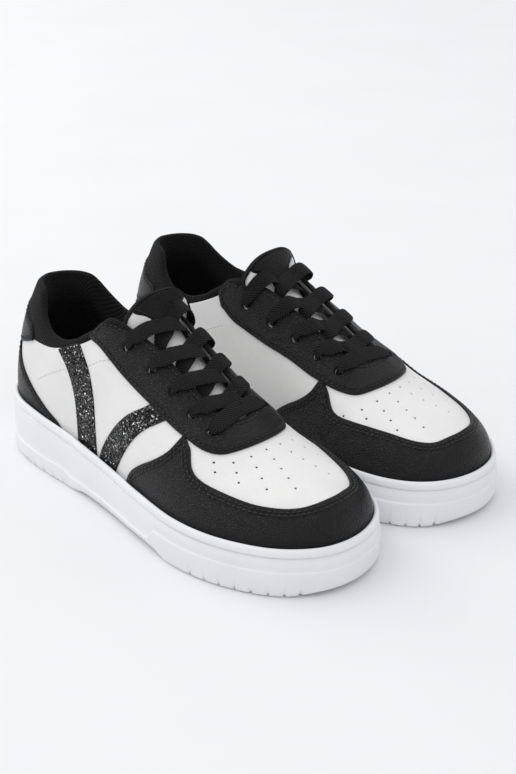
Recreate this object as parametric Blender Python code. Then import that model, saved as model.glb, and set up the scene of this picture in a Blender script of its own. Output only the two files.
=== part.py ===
"""A pair of low lace-up cheer shoes, modelled in Blender as separate pieces.

Each shoe is drawn in its own millimetre frame: x runs from the heel (0) to the toe (280),
y is positive towards the outer side of the foot, and z is up from the ground.
The two shoes are mirror images. Toes point along -Y, and the right shoe is on the -X side.

The upper is built in thin layers round one shape, the last. A layer is a pair of offsets
from the last's surface, and a panel is the part of a layer inside its pattern outline.
"""

import math

import bmesh
import bpy
import numpy as np
from mathutils import Vector

MM = 0.001

# Driving sizes, in millimetres
SHOE_LENGTH = 280.0
LAST_INSET = 5.8  # the last's outline lies this far inside the sole's widest line
SOLE_EDGE = [  # (x, y) round the sole's widest line: outer side from heel to toe, then back
    (0, 0), (2, 10.6), (6, 19.6), (15, 29), (30, 36.5), (55, 40.8), (90, 42.0), (125, 45.2),
    (160, 51), (195, 55.2), (220, 52.9), (240, 46.5), (257, 37.4), (269, 26), (277, 13),
    (280, -4), (277, -21), (269, -35.5), (257, -46), (240, -52.8), (220, -55), (195, -52.4),
    (160, -44.4), (125, -38.2), (90, -37.8), (55, -39.8), (30, -36.5), (15, -29),
    (6, -19.6), (2, -10.6),
]
RIM_HEIGHT = [(0, 38.2), (40, 38.0), (140, 30.7), (215, 29.0), (280, 28.8)]
RIDGE_HEIGHT = [
    (0, 124), (60, 124), (95, 121), (126, 109), (142, 100), (158, 91), (173, 82), (188, 74),
    (205, 64.5), (225, 57), (245, 52), (258, 48),
]
RIDGE_SHIFT = [(0, 0), (60, -3), (120, -7), (160, -5), (200, -4), (240, -3), (280, -4)]
WIDTH_POWER_OUTER = [(0, 2.4), (60, 2.3), (126, 2.2), (160, 2.05), (190, 1.85), (250, 1.85), (280, 2.1)]
WIDTH_POWER_INNER = [(0, 2.4), (60, 2.3), (126, 2.2), (160, 2.05), (190, 1.92), (225, 2.05), (280, 2.1)]
HEIGHT_POWER = [(0, 2.2), (126, 2.2), (188, 1.95), (225, 2.15), (280, 2.1)]
HEEL_LEAN = [(30, 0.5), (38, 0), (44, -0.3), (54, 0.8), (68, 3.6), (80, 6.2), (95, 10.5), (108, 14), (125, 18)]
TOE_CAP_START = 258.0
UPPER_BOTTOM = 14.3  # where the upper's wall ends inside the sole cup

# Layers, as (outer, inner) offsets from the last
OVERLAY = (1.3, 0.3)
BASE = (0.0, -1.2)
STIFFENER = (-1.5, -2.3)
LINING_THICKNESS = 0.9

# Collar and panels
COLLAR_TOP = [
    (0, 105.5), (20, 106.5), (28, 105), (34, 101.5), (40, 97), (50, 92), (60, 89), (70, 88.5),
    (80, 91), (90, 96.3), (98, 101.5), (103, 105),
]
BAND_LOW = [(0, 80), (45, 80.6), (62, 82.1), (72.5, 84.7), (88.6, 91.6), (97.8, 97.4), (103, 102)]
COLLAR_FRONT = 103.0
COLLAR_PAD = 4.6
EYELETS_OUTER = [(124.5, 20.9), (142, 21.4), (158.5, 20.8), (175, 20.8), (190.8, 18.8)]
EYELETS_INNER = [(121, -25.4), (139.5, -25.3), (156.5, -24.8), (172.5, -24.9), (187.5, -23.3)]
EYELET_RADIUS = 2.8
GAP = 0.3

# Laces and tongue
LACE_WIDTH = 7.0
LACE_THICKNESS = 1.1
TONGUE_PATH = [  # (x, z) along the middle of its top face
    (193.5, 66.5), (186, 70.4), (171, 79), (155, 88), (140, 96.4), (131, 101.8),
    (124.5, 106.8), (120.6, 112.4), (118.8, 118), (117.8, 123.6),
]
TONGUE_HALF_WIDTH = [(0, 13), (0.3, 15), (0.72, 14.5), (0.85, 14.4), (1, 18.3)]
TONGUE_ARCH = [(0, 4), (0.3, 7.6), (0.55, 9.6), (0.75, 9.2), (1, 6)]
TONGUE_CORNER = 0.065  # share of its length by which the top's rounded corners fall short
TONGUE_INNER_DROP = 1.25
TONGUE_CENTRE = -4.6
TONGUE_HINGE = (194.5, 64.0)
TONGUE_ROWS = 13

# Placement of the left shoe beside the right one, as they stand on the floor
RIGHT_PLACE = (-54.85, -1.25)
LEFT_PLACE = (49.05, 1.95)
LEFT_TURN = math.radians(5.7)

STATIONS = 21
GIRTH_STEPS = 12

COLOURS = {  # base colour, roughness, metallic
    "white_leather": ((0.83, 0.83, 0.82), 0.45, 0.0),
    "black_leather": ((0.02, 0.02, 0.021), 0.42, 0.0),
    "black_textile": ((0.012, 0.012, 0.013), 0.9, 0.0),
    "glitter": ((0.03, 0.03, 0.032), 0.35, 0.4),
    "white_rubber": ((0.85, 0.86, 0.88), 0.5, 0.0),
    "white_textile": ((0.75, 0.75, 0.74), 0.85, 0.0),
    "foam": ((0.6, 0.6, 0.58), 0.9, 0.0),
    "board": ((0.5, 0.42, 0.3), 0.8, 0.0),
    "black_plastic": ((0.02, 0.02, 0.02), 0.3, 0.0),
}


# ---------------------------------------------------------------- curves

def curve_through(points):
    """A smooth function of x through (x, value) points that doesn't overshoot between them."""
    xs, ys = np.array(points, float).T
    step = np.diff(xs)
    rise = np.diff(ys) / step
    slope = np.zeros(len(xs))
    slope[0], slope[-1] = rise[0], rise[-1]
    same_way = rise[:-1] * rise[1:] > 0
    both = np.where(same_way, rise[:-1] + rise[1:], 1.0)
    slope[1:-1] = np.where(same_way, 2 * rise[:-1] * rise[1:] / both, 0.0)

    def value(x):
        x = np.clip(x, xs[0], xs[-1])
        i = np.clip(np.searchsorted(xs, x, side="right") - 1, 0, len(step) - 1)
        t = (x - xs[i]) / step[i]
        return (
            (1 + 2 * t) * (1 - t) ** 2 * ys[i] + t * (1 - t) ** 2 * step[i] * slope[i]
            + t * t * (3 - 2 * t) * ys[i + 1] + t * t * (t - 1) * step[i] * slope[i + 1]
        )

    return value


def smooth_path(points, steps, closed=False):
    """Points along a smooth curve through the given ones, with the given steps between two."""
    p = np.array(points, float)
    n = len(p)
    spans = n if closed else n - 1
    if not closed:
        p = np.vstack([2 * p[0] - p[1], p, 2 * p[-1] - p[-2]])
    out = []
    for k in range(spans):
        a, b, c, d = [p[(k + o - 1) % n] if closed else p[k + o] for o in range(4)]
        ab, bc, cd = [max(np.linalg.norm(v), 1e-6) ** 0.5 for v in (b - a, c - b, d - c)]
        leave = (c - b) - ((c - a) / (ab + bc) - (b - a) / ab) * bc
        arrive = (c - b) + ((d - c) / cd - (d - b) / (bc + cd)) * bc
        for s in range(steps):
            t = s / steps
            out.append(
                (2 * t ** 3 - 3 * t ** 2 + 1) * b + (t ** 3 - 2 * t ** 2 + t) * leave
                + (3 * t ** 2 - 2 * t ** 3) * c + (t ** 3 - t ** 2) * arrive
            )
    if not closed:
        out.append(p[-2])
    return np.array(out)


def grow_loop(loop, distance):
    """A closed outline moved outwards by a distance, or inwards by a negative one."""
    loop = np.array(loop, float)
    along = np.roll(loop, -1, axis=0) - np.roll(loop, 1, axis=0)
    out = np.stack([along[:, 1], -along[:, 0]], axis=1)
    out /= np.linalg.norm(out, axis=1)[:, None]
    area = np.sum(loop[:, 0] * np.roll(loop[:, 1], -1) - np.roll(loop[:, 0], -1) * loop[:, 1])
    return loop + out * (distance if area > 0 else -distance)


def ease(x, start, end):
    """0 before start, 1 after end, and a smooth step between them."""
    t = np.clip((np.asarray(x, float) - start) / (end - start), 0, 1)
    return t * t * (3 - 2 * t)


# ---------------------------------------------------------------- the last

rim_height = curve_through(RIM_HEIGHT)
ridge_height = curve_through(RIDGE_HEIGHT)
ridge_shift = curve_through(RIDGE_SHIFT)
width_power_outer = curve_through(WIDTH_POWER_OUTER)
width_power_inner = curve_through(WIDTH_POWER_INNER)
height_power = curve_through(HEIGHT_POWER)
heel_lean = curve_through(HEEL_LEAN)
collar_top = curve_through(COLLAR_TOP)
band_low = curve_through(BAND_LOW)


def last_edges():
    """The last's outline as x and y tables for its outer and inner sides, heel to toe."""
    loop = grow_loop(smooth_path(SOLE_EDGE, 24, closed=True), -LAST_INSET)
    loop = np.roll(loop, -int(loop[:, 0].argmin()), axis=0)
    tip = int(loop[:, 0].argmax())
    first, second = loop[: tip + 1], np.vstack([loop[tip:], loop[:1]])[::-1]
    return (first, second) if first[:, 1].mean() > 0 else (second, first)


OUTER_EDGE, INNER_EDGE = last_edges()
HEEL_X, TIP_X = OUTER_EDGE[0, 0], OUTER_EDGE[-1, 0]


def station_x(t):
    """Distance from the heel at station t, packed closer at both rounded ends."""
    return HEEL_X + (TIP_X - HEEL_X) * (1 - np.cos(np.pi * np.asarray(t, float))) / 2


def station_t(x):
    return np.arccos(1 - 2 * (np.asarray(x, float) - HEEL_X) / (TIP_X - HEEL_X)) / np.pi


def section_base(x):
    return rim_height(x) - 3.0


def section_top(x):
    """Height of the ridge line, closing down like an ellipse at the toe's tip."""
    low = section_base(x)
    t = np.clip((x - TOE_CAP_START) / (TIP_X - TOE_CAP_START), 0, 1)
    start = ridge_height(TOE_CAP_START)
    nose = low + (start - low) * np.sqrt(np.clip(1 - t ** 2.2, 0, 1)) - 4 * t * (1 - t)
    return np.where(x <= TOE_CAP_START, ridge_height(x), nose)


def last(t, g):
    """A point of the last. g runs from 0 at the outer rim over the ridge to pi at the inner
    rim, and 0 to -1 (or pi to pi + 1) is the wall below the rim, down to UPPER_BOTTOM."""
    t, g = np.broadcast_arrays(np.asarray(t, float), np.asarray(g, float))
    x = station_x(t)
    below = np.clip(np.maximum(-g, g - np.pi), 0, 1)
    angle = np.clip(g, 0, np.pi)
    outer = angle <= np.pi / 2
    y_outer = np.interp(x, OUTER_EDGE[:, 0], OUTER_EDGE[:, 1])
    y_inner = np.interp(x, INNER_EDGE[:, 0], INNER_EDGE[:, 1])
    middle = (y_outer + y_inner) / 2
    to_tip = ease(x, 262, TIP_X)
    to_heel = 1 - ease(x, HEEL_X, 25)
    free = (1 - to_tip) * (1 - to_heel)
    centre = ridge_shift(x) * free + middle * (1 - free)
    power = np.where(outer, width_power_outer(x), width_power_inner(x))
    across = np.abs(np.cos(angle)) ** (2 / power)
    up = np.abs(np.sin(angle)) ** (2 / height_power(x))
    edge = np.where(outer, y_outer, y_inner)
    low = section_base(x)
    y = centre + (edge - centre) * across
    z = low + (section_top(x) - low) * up
    z = z + (UPPER_BOTTOM - low) * below
    x = x + heel_lean(z) * (1 - ease(x, 5, 80))
    return np.stack([x, y, z], axis=-1)


def last_normal(t, g):
    """The outward normal of the last."""
    t, g = np.broadcast_arrays(np.asarray(t, float), np.asarray(g, float))
    tc, gc = np.clip(t, 0.004, 0.996), np.clip(g, -0.98, np.pi + 0.98)
    gc = np.where(np.abs(gc) < 0.03, 0.03 * np.where(gc < 0, -1, 1), gc)
    along = last(tc + 0.003, gc) - last(tc - 0.003, gc)
    round_it = last(tc, gc + 0.01) - last(tc, gc - 0.01)
    n = np.cross(round_it, along)
    n /= np.linalg.norm(n, axis=-1)[..., None] + 1e-12
    n *= np.where(g <= np.pi / 2, 1, 1)[..., None]
    at_heel, at_tip = t < 0.0005, t > 0.9995
    n = np.where(at_heel[..., None], n * [1, 0, 1], n)
    n = np.where(at_tip[..., None], [1.0, 0.0, 0.0], n)
    return n / np.linalg.norm(n, axis=-1)[..., None]


def skin(t, g, offset):
    """A point at an offset from the last along its normal."""
    return last(t, g) + last_normal(t, g) * np.asarray(offset, float)[..., None]


def girth_at_height(t, z, outer_side):
    """The girth angle at which the last reaches a height."""
    x = station_x(t)
    low = section_base(x)
    share = np.clip((z - low) / (section_top(x) - low), 0, 1)
    g = np.arcsin(share ** (height_power(x) / 2))
    g = np.where(z < low, -(low - z) / (low - UPPER_BOTTOM), g)
    return g if outer_side else np.pi - g


def girth_at_width(t, y):
    """The girth angle over a point of the plan."""
    x = station_x(t)
    outer = y >= ridge_shift(x)
    edges = OUTER_EDGE if outer else INNER_EDGE
    edge = np.interp(x, edges[:, 0], edges[:, 1])
    power = width_power_outer(x) if outer else width_power_inner(x)
    share = np.clip((y - ridge_shift(x)) / (edge - ridge_shift(x)), 0, 1)
    g = np.arccos(share ** (power / 2))
    return float(g if outer else np.pi - g)


def over_plan(x, y, offset):
    """The point of a layer over the plan position (x, y)."""
    t = float(station_t(x))
    return skin(t, girth_at_width(t, y), offset)


# ---------------------------------------------------------------- objects

class Shoe:
    """One shoe's collections, its empty and its side: 1 for the right shoe, -1 for the left."""

    def __init__(self, name, side, parts, cutters):
        self.name = name
        self.side = side
        self.parts = parts
        self.cutters = cutters
        self.empty = bpy.data.objects.new(name + "_shoe", None)
        parts.objects.link(self.empty)
        middle = RIGHT_PLACE if side > 0 else LEFT_PLACE
        self.empty.location = (middle[0] * MM, middle[1] * MM, 0)
        self.empty.rotation_euler = (0, 0, 0 if side > 0 else LEFT_TURN)
        self.tongue_empty = bpy.data.objects.new(name + "_tongue_axis", None)
        parts.objects.link(self.tongue_empty)
        self.tongue_empty.parent = self.empty
        self.tongue_empty.location = self.place([(TONGUE_HINGE[0], 0, TONGUE_HINGE[1])])[0]

    def place(self, points):
        """Shoe millimetres to the empty's metres, mirrored for the left shoe."""
        p = np.asarray(points, float)
        moved = np.stack([-self.side * p[..., 1], SHOE_LENGTH / 2 - p[..., 0], p[..., 2]], axis=-1)
        return moved * MM

    def add(self, name, points, faces, colour, parent=None):
        """A closed body from points and faces, with its normals facing out."""
        mesh = bpy.data.meshes.new(self.name + "_" + name)
        placed = self.place(points)
        if parent is not None:
            placed = placed - np.array(parent.location)
        mesh.from_pydata([tuple(p) for p in placed], [], faces)
        bm = bmesh.new()
        bm.from_mesh(mesh)
        bmesh.ops.remove_doubles(bm, verts=bm.verts, dist=2e-6)
        bmesh.ops.dissolve_degenerate(bm, edges=bm.edges, dist=1e-6)
        bmesh.ops.recalc_face_normals(bm, faces=bm.faces)
        bm.to_mesh(mesh)
        bm.free()
        obj = bpy.data.objects.new(mesh.name, mesh)
        obj.parent = parent or self.empty
        if colour is None:
            self.cutters.objects.link(obj)
            obj.hide_render = True
            obj.display_type = "WIRE"
        else:
            self.parts.objects.link(obj)
            obj.data.materials.append(material(self.name + "_" + name, colour))
            obj.data.shade_smooth()
            obj.data.set_sharp_from_angle(angle=math.radians(35))
        return obj


def material(name, colour):
    base, roughness, metallic = COLOURS[colour]
    made = bpy.data.materials.new(name)
    made.use_nodes = True
    shader = made.node_tree.nodes["Principled BSDF"]
    shader.inputs["Base Color"].default_value = (*base, 1)
    shader.inputs["Roughness"].default_value = roughness
    shader.inputs["Metallic"].default_value = metallic
    made.diffuse_color = (*base, 1)
    return made


def cut(obj, cutter, keep_inside=False):
    """Keeps what is inside the cutter, or removes it."""
    modifier = obj.modifiers.new("cut", "BOOLEAN")
    modifier.operation = "INTERSECT" if keep_inside else "DIFFERENCE"
    modifier.object = cutter
    modifier.solver = "EXACT"


def grid_faces(rows, columns, start=0):
    """Triangles of a grid of points stored row by row."""
    faces = []
    for r in range(rows - 1):
        for c in range(columns - 1):
            a = start + r * columns + c
            faces.append((a, a + 1, a + columns))
            faces.append((a + 1, a + columns + 1, a + columns))
    return faces


def layer(shoe, name, colour, outer, inner):
    """A whole layer of the upper, closed over heel and toe and open at the bottom.
    outer and inner are offsets, or functions that give one for each point of the last."""
    t = np.linspace(0, 1, STATIONS)[:, None]
    g = np.concatenate([[-1.0], np.linspace(0, np.pi, GIRTH_STEPS + 1), [np.pi + 1]])[None, :]
    points = last(t, g)
    faces, stacks = [], []
    columns = g.shape[1]
    for k, offset in enumerate((outer, inner)):
        value = offset(points) if callable(offset) else np.full(points.shape[:2], offset)
        stacks.append(skin(t, g, value).reshape(-1, 3))
        faces += grid_faces(STATIONS, columns, k * STATIONS * columns)
    for r in range(STATIONS - 1):
        for edge in (0, columns - 1):
            a, b = r * columns + edge, (r + 1) * columns + edge
            faces.append((a, b, b + STATIONS * columns, a + STATIONS * columns))
    return shoe.add(name, np.vstack(stacks), faces, colour)


def prism(shoe, name, outline, view, low, high):
    """A cutter from a flat outline: view "plan" is in x and y, and "side" in x and z."""
    flat = np.array(outline, float)
    ends = []
    for level in (low, high):
        column = np.full(len(flat), float(level))
        if view == "plan":
            ends.append(np.stack([flat[:, 0], flat[:, 1], column], axis=1))
        else:
            ends.append(np.stack([flat[:, 0], column, flat[:, 1]], axis=1))
    n = len(flat)
    faces = [tuple(range(n)), tuple(range(2 * n - 1, n - 1, -1))]
    faces += [(k, (k + 1) % n, n + (k + 1) % n, n + k) for k in range(n)]
    return shoe.add("cutter_" + name, np.vstack(ends), faces, None)


def rounded(outline, steps=2):
    """A closed outline with smooth corners."""
    return smooth_path(outline, steps, closed=True)


# ---------------------------------------------------------------- pattern outlines

def throat_outline():
    """The opening between the two rows of eyelets, in plan, running out over the collar."""
    outer = [(90, 24), (103, 20.0), (118, 15.8), (131, 12.4), (150, 10.8), (180, 9.6), (192, 8.0)]
    front = [(196.5, 1.5), (196.5, -6)]
    inner = [(192, -12.4), (180, -14), (150, -15.4), (131, -17), (118, -20.2), (103, -24.4), (90, -29)]
    return outer + front + inner


def eyestay_outline():
    """The outer edge of the U-shaped eyelet panel, in plan."""
    outer = [(96.5, 24.6), (106, 26.7), (120, 28), (150, 29.3), (180, 29.2), (194, 27.6), (203.5, 21.6)]
    front = [(208.6, 11), (210.6, -3), (208.6, -17)]
    inner = [(203.5, -25.5), (194, -29.8), (180, -30.2), (157, -28.9), (140, -28.2), (121, -27.4), (106, -26.9), (96.5, -26.5)]
    return outer + front + inner + [(94, -12), (94, 8)]


def toe_box_outline():
    """The white panel over the toes, in plan."""
    outer = [(188, 31), (196, 36.8), (206, 37.4), (225, 33.4), (241, 27.2), (253, 18.2)]
    tip = [(259.5, 8), (261.5, -4), (260, -14), (256.5, -22.5)]
    inner = [(248, -29), (231, -34), (211, -38), (196, -38), (188, -33), (186, 0)]
    return outer + tip + inner


def mudguard_outline():
    """Side view of the toe overlay: everything ahead of its curved rear edge."""
    rear = [(141, 8), (145.5, 28), (151, 37.5), (160, 45), (170, 51.5), (177, 58), (180, 66)]
    return rear + [(180, 90), (290, 90), (290, 8)]


def heel_overlay_outline():
    """Side view of the heel overlay, a wedge that rises to a strip up the back."""
    front = [(74, 8), (74, 34.2), (56.5, 42.4), (44.7, 48.1), (35.5, 54.6), (27.5, 60.4), (22, 66)]
    return front + [(20.5, 70.2), (-10, 67.5), (-10, 8)]


def heel_tab_outline():
    return [(-10, 68.5), (20, 71), (43.5, 79), (42, 87.2), (30, 85), (-10, 80.5)]


def rear_stripe_outline():
    back = [(95.8, 16), (95.6, 34), (94.9, 47), (91.5, 61.8), (83.6, 74.3), (72, 83.5)]
    front = [(88, 89.8), (97.8, 77.4), (105.6, 63.4), (109.3, 46), (111.3, 32.6), (111.5, 16)]
    return back + front


def front_stripe_outline():
    back = [(113.6, 16), (116, 32.3), (127.5, 51.8), (139.7, 66.1), (153, 77), (160, 86)]
    front = [(176, 78), (166.9, 72), (156.7, 64.1), (146.4, 51.5), (134.2, 31.5), (125, 16)]
    return back + front


def quarter_outline():
    """Side view of a quarter: up to the collar band, and forwards under the overlays."""
    top = [(-10, float(band_low(0)) - 0.6)]
    for x in (20, 40, 52, 62, 72, 80, 88, 96, COLLAR_FRONT):
        t = float(station_t(x))
        point = last(t, girth_at_height(t, float(band_low(x)), True))
        top.append((point[0] + 0.4, point[2] - 0.9))
    return top + [(COLLAR_FRONT + 0.6, 130), (184, 130), (184, 70), (168, 8), (-10, 8)]


# ---------------------------------------------------------------- pieces of one shoe

def sole_ring(distance, height):
    """A ring of points round the last's outline at a distance from it; height is a number,
    or a function of x."""
    t = np.linspace(0, 1, STATIONS)
    sides = []
    for edge, g in ((OUTER_EDGE, 0.0), (INNER_EDGE, np.pi)):
        x = station_x(t)
        y = np.interp(x, edge[:, 0], edge[:, 1])
        n = last_normal(t, np.full(STATIONS, g - 0.5 if g == 0 else g + 0.5))[:, :2]
        n /= np.linalg.norm(n, axis=1)[:, None]
        sides.append(np.stack([x + n[:, 0] * distance, y + n[:, 1] * distance], axis=1))
    ring = np.vstack([sides[0], sides[1][-2:0:-1]])
    z = height(ring[:, 0]) if callable(height) else np.full(len(ring), float(height))
    return np.column_stack([ring, z])


def stack_rings(rings):
    """Faces that join rings of equal length and cap the first and the last."""
    n = len(rings[0])
    faces = []
    for k in range(len(rings) - 1):
        for c in range(n):
            d = (c + 1) % n
            faces.append((k * n + c, k * n + d, (k + 1) * n + d, (k + 1) * n + c))
    faces.append(tuple(range(n)))
    faces.append(tuple(range((len(rings) - 1) * n, len(rings) * n)))
    return np.vstack(rings), faces


def make_cupsole(shoe):
    """The rubber cup: a floor and a wall that the upper sits down into."""
    rings = [
        sole_ring(LAST_INSET - 2.6, 0),
        sole_ring(LAST_INSET - 1.4, 2),
        sole_ring(LAST_INSET, 17),
        sole_ring(LAST_INSET - 1.8, lambda x: rim_height(x) - 2),
        sole_ring(LAST_INSET - 2.8, rim_height),
        sole_ring(OVERLAY[0] + GAP, lambda x: rim_height(x) - 0.5),
        sole_ring(OVERLAY[0] + GAP, UPPER_BOTTOM - 0.5),
        sole_ring(0.6, UPPER_BOTTOM - 0.6),
        sole_ring(0.6, 4.6),
    ]
    points, faces = stack_rings(rings)
    shoe.add("cupsole", points, faces, "white_rubber")


def make_plate(shoe, name, colour, distance, low, high):
    """A flat piece that follows the sole's outline."""
    points, faces = stack_rings([sole_ring(distance, low), sole_ring(distance, high)])
    shoe.add(name, points, faces, colour)


def eyelet_cutter(shoe):
    """Ten short rods along the last's normal, one for each eyelet."""
    points, faces = [], []
    sides = 7
    for x, y in EYELETS_OUTER + EYELETS_INNER:
        t = float(station_t(x))
        g = girth_at_width(t, y)
        middle, n = last(t, g), last_normal(t, g)
        u = np.cross(n, [0, 0, 1.0])
        u /= np.linalg.norm(u)
        v = np.cross(n, u)
        start = len(points)
        for end in (-6.0, 5.0):
            for k in range(sides):
                a = 2 * math.pi * k / sides
                ring = math.cos(a) * u + math.sin(a) * v
                points.append(middle + n * end + ring * EYELET_RADIUS)
        faces.append(tuple(start + k for k in range(sides)))
        faces.append(tuple(start + sides + k for k in reversed(range(sides))))
        for k in range(sides):
            m = (k + 1) % sides
            faces.append((start + k, start + m, start + sides + m, start + sides + k))
    return shoe.add("cutter_eyelets", np.array(points), faces, None)


def lining_outer(points):
    """Offset of the front lining's outer face: close under the quarters, then under the toe
    stiffener."""
    return -1.5 - 1.2 * ease(points[..., 0], 203, 218)


def lining_inner(points):
    return lining_outer(points) - LINING_THICKNESS


def make_panels(shoe):
    """The cut panels of the upper, from the layers inside their outlines."""
    throat = prism(shoe, "throat", rounded(throat_outline()), "plan", 40, 140)
    eyestay_area = rounded(eyestay_outline())
    eyestay_in = prism(shoe, "eyestay", eyestay_area, "plan", 40, 140)
    eyestay_clear = prism(shoe, "eyestay_gap", grow_loop(eyestay_area, 0.35), "plan", 40, 140)
    toe_box = prism(shoe, "toe_box", rounded(toe_box_outline()), "plan", 32, 80)
    holes = eyelet_cutter(shoe)

    vamp_split = [(168.4, 5), (184.4, 70), (184.4, 135), (300, 135), (300, 5)]
    vamp = layer(shoe, "vamp", "white_leather", *BASE)
    cut(vamp, prism(shoe, "vamp", vamp_split, "side", -90, 90), True)
    cut(vamp, throat)
    cut(vamp, holes)
    for name, low, high in (("outer", 0.2, 90), ("inner", -90, -0.2)):
        quarter = layer(shoe, "quarter_" + name, "white_leather", *BASE)
        cut(quarter, prism(shoe, "quarter_" + name, quarter_outline(), "side", low, high), True)
        cut(quarter, throat)
        cut(quarter, holes)

    eyestay = layer(shoe, "eyestay", "black_leather", *OVERLAY)
    cut(eyestay, eyestay_in, True)
    cut(eyestay, throat)
    cut(eyestay, holes)
    mudguard = layer(shoe, "mudguard", "black_leather", *OVERLAY)
    cut(mudguard, prism(shoe, "mudguard", mudguard_outline(), "side", -90, 90), True)
    cut(mudguard, toe_box)
    cut(mudguard, eyestay_clear)
    heel = layer(shoe, "heel_overlay", "black_leather", *OVERLAY)
    cut(heel, prism(shoe, "heel_overlay", heel_overlay_outline(), "side", -90, 90), True)
    tab = layer(shoe, "heel_tab", "black_leather", *OVERLAY)
    cut(tab, prism(shoe, "heel_tab", heel_tab_outline(), "side", -90, 90), True)
    for name, outline in (("rear", rear_stripe_outline()), ("front", front_stripe_outline())):
        stripe = layer(shoe, "stripe_" + name, "glitter", *OVERLAY)
        cut(stripe, prism(shoe, "stripe_" + name, rounded(outline), "side", 10, 90), True)
        if name == "front":
            cut(stripe, eyestay_clear)

    puff = layer(shoe, "toe_puff", "board", *STIFFENER)
    cut(puff, prism(shoe, "toe_puff", [(221, 18), (221, 90), (300, 90), (300, 18)], "side", -90, 90), True)
    counter = layer(shoe, "heel_counter", "board", *STIFFENER)
    counter_side = [(-10, 18), (74, 18), (66, 50), (44, 66), (-10, 70)]
    cut(counter, prism(shoe, "heel_counter", counter_side, "side", -90, 90), True)
    lining = layer(shoe, "vamp_lining", "white_textile", lining_outer, lining_inner)
    front_part = [(COLLAR_FRONT + 1, 5), (COLLAR_FRONT + 1, 135), (300, 135), (300, 5)]
    cut(lining, prism(shoe, "vamp_lining", front_part, "side", -90, 90), True)
    cut(lining, throat)
    cut(lining, holes)


def pad_depth(x, below_top):
    """Thickness of the collar's foam at a distance below the collar's top."""
    return COLLAR_PAD * (1 - ease(x, 72, 94)) * (1 - ease(below_top, 14, 34))


def collar_stations():
    """Stations round the collar, from its outer front end by the heel to the inner one."""
    front = float(station_t(COLLAR_FRONT))
    side = [k / (STATIONS - 1) for k in range(STATIONS) if k / (STATIONS - 1) < front - 0.01] + [front]
    return [(t, True) for t in side[::-1]] + [(t, False) for t in side[1:]]


def loft(shoe, name, colour, profile, ends=0):
    """A body along the collar whose profile gives (offset, height) points at each station."""
    points, count = [], 0
    stations = collar_stations()
    for t, outer_side in stations[ends: len(stations) - ends]:
        section = profile(float(station_x(t)))
        count = len(section)
        for offset, z in section:
            g = girth_at_height(t, z, outer_side)
            points.append(skin(t, g, offset))
    rows = len(points) // count
    faces = []
    for r in range(rows - 1):
        for c in range(count):
            d = (c + 1) % count
            faces.append((r * count + c, r * count + d, (r + 1) * count + d, (r + 1) * count + c))
    faces.append(tuple(range(count)))
    faces.append(tuple(range((rows - 1) * count, rows * count)))
    shoe.add(name, np.array(points), faces, colour)


def collar_lining_profile(x):
    """Textile that starts in a band outside, folds over the foam and lines the inside."""
    top, low = float(collar_top(x)), float(band_low(x))
    back = 2.7
    fold = LINING_THICKNESS
    depth_top = back + float(pad_depth(x, 0)) + fold
    outside = [(-1.3, low), (-0.4, low), (-0.4, (low + top) / 2 - 1), (-0.5, top - 2.2), (-1.8, top)]
    inside = [(-depth_top + 1.2, top), (-depth_top - 0.3, top - 2.4)]
    hidden = [(-depth_top + fold, top - 2.6), (-depth_top + 1.6, top - 1.2), (-2.1, top - 1.2), (-1.4, max(top - 3, low + 0.4))]
    down_in, down_out = [], []
    for below in (10, 20, 34):
        depth = back + float(pad_depth(x, below))
        down_in.append((-depth - fold, top - below))
        down_out.append((-depth, top - below))
    for z in (float(section_base(x)), UPPER_BOTTOM):
        down_in.append((-back - fold, z))
        down_out.append((-back, z))
    return outside + inside + down_in + down_out[::-1] + hidden


def collar_foam_profile(x):
    """Foam between the quarter and the lining, thickest under the collar's edge."""
    top = float(collar_top(x))
    near = BASE[1] - 0.5
    inner = [(-(2.35 + float(pad_depth(x, below))), top - below) for below in (20, 10, 4)]
    return [(near, top - 3.6), (near, top - 21)] + inner


def make_collar(shoe):
    loft(shoe, "collar_lining", "black_textile", collar_lining_profile)
    loft(shoe, "collar_foam", "foam", collar_foam_profile, 1)


def ribbon(centres, width_directions, widths, thickness):
    """Points and faces of a flat band swept along a path."""
    c = np.array(centres, float)
    tangents = np.gradient(c, axis=0)
    tangents /= np.linalg.norm(tangents, axis=1)[:, None]
    points, faces = [], []
    for p, t, w, half in zip(c, tangents, width_directions, np.array(widths) / 2):
        w = w - t * np.dot(w, t)
        w /= np.linalg.norm(w)
        b = np.cross(t, w)
        for s, r in ((-1, -1), (1, -1), (1, 1), (-1, 1)):
            points.append(p + w * half * s + b * r * thickness / 2)
    rows = len(c)
    for r in range(rows - 1):
        for k in range(4):
            m = (k + 1) % 4
            faces.append((r * 4 + k, r * 4 + m, (r + 1) * 4 + m, (r + 1) * 4 + k))
    faces.append((0, 1, 2, 3))
    faces.append(tuple(range((rows - 1) * 4, rows * 4)))
    return np.array(points), faces


OVER, UNDER = 2.7, -4.1  # offsets of the lace outside and inside the edge of the throat


def lace_point(x, y, shift, offset, width):
    """A point of the lace: over the plan position (x, y), then moved round the shoe by a shift
    (positive towards the inner side). Gives the point, its flat direction and its width."""
    t = float(station_t(x))
    g = girth_at_width(t, y)
    speed = np.linalg.norm(last(t, g + 0.01) - last(t, g - 0.01)) / 0.02
    g += shift / speed
    return skin(t, g, offset), last(t + 0.002, g) - last(t - 0.002, g), width


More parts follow.
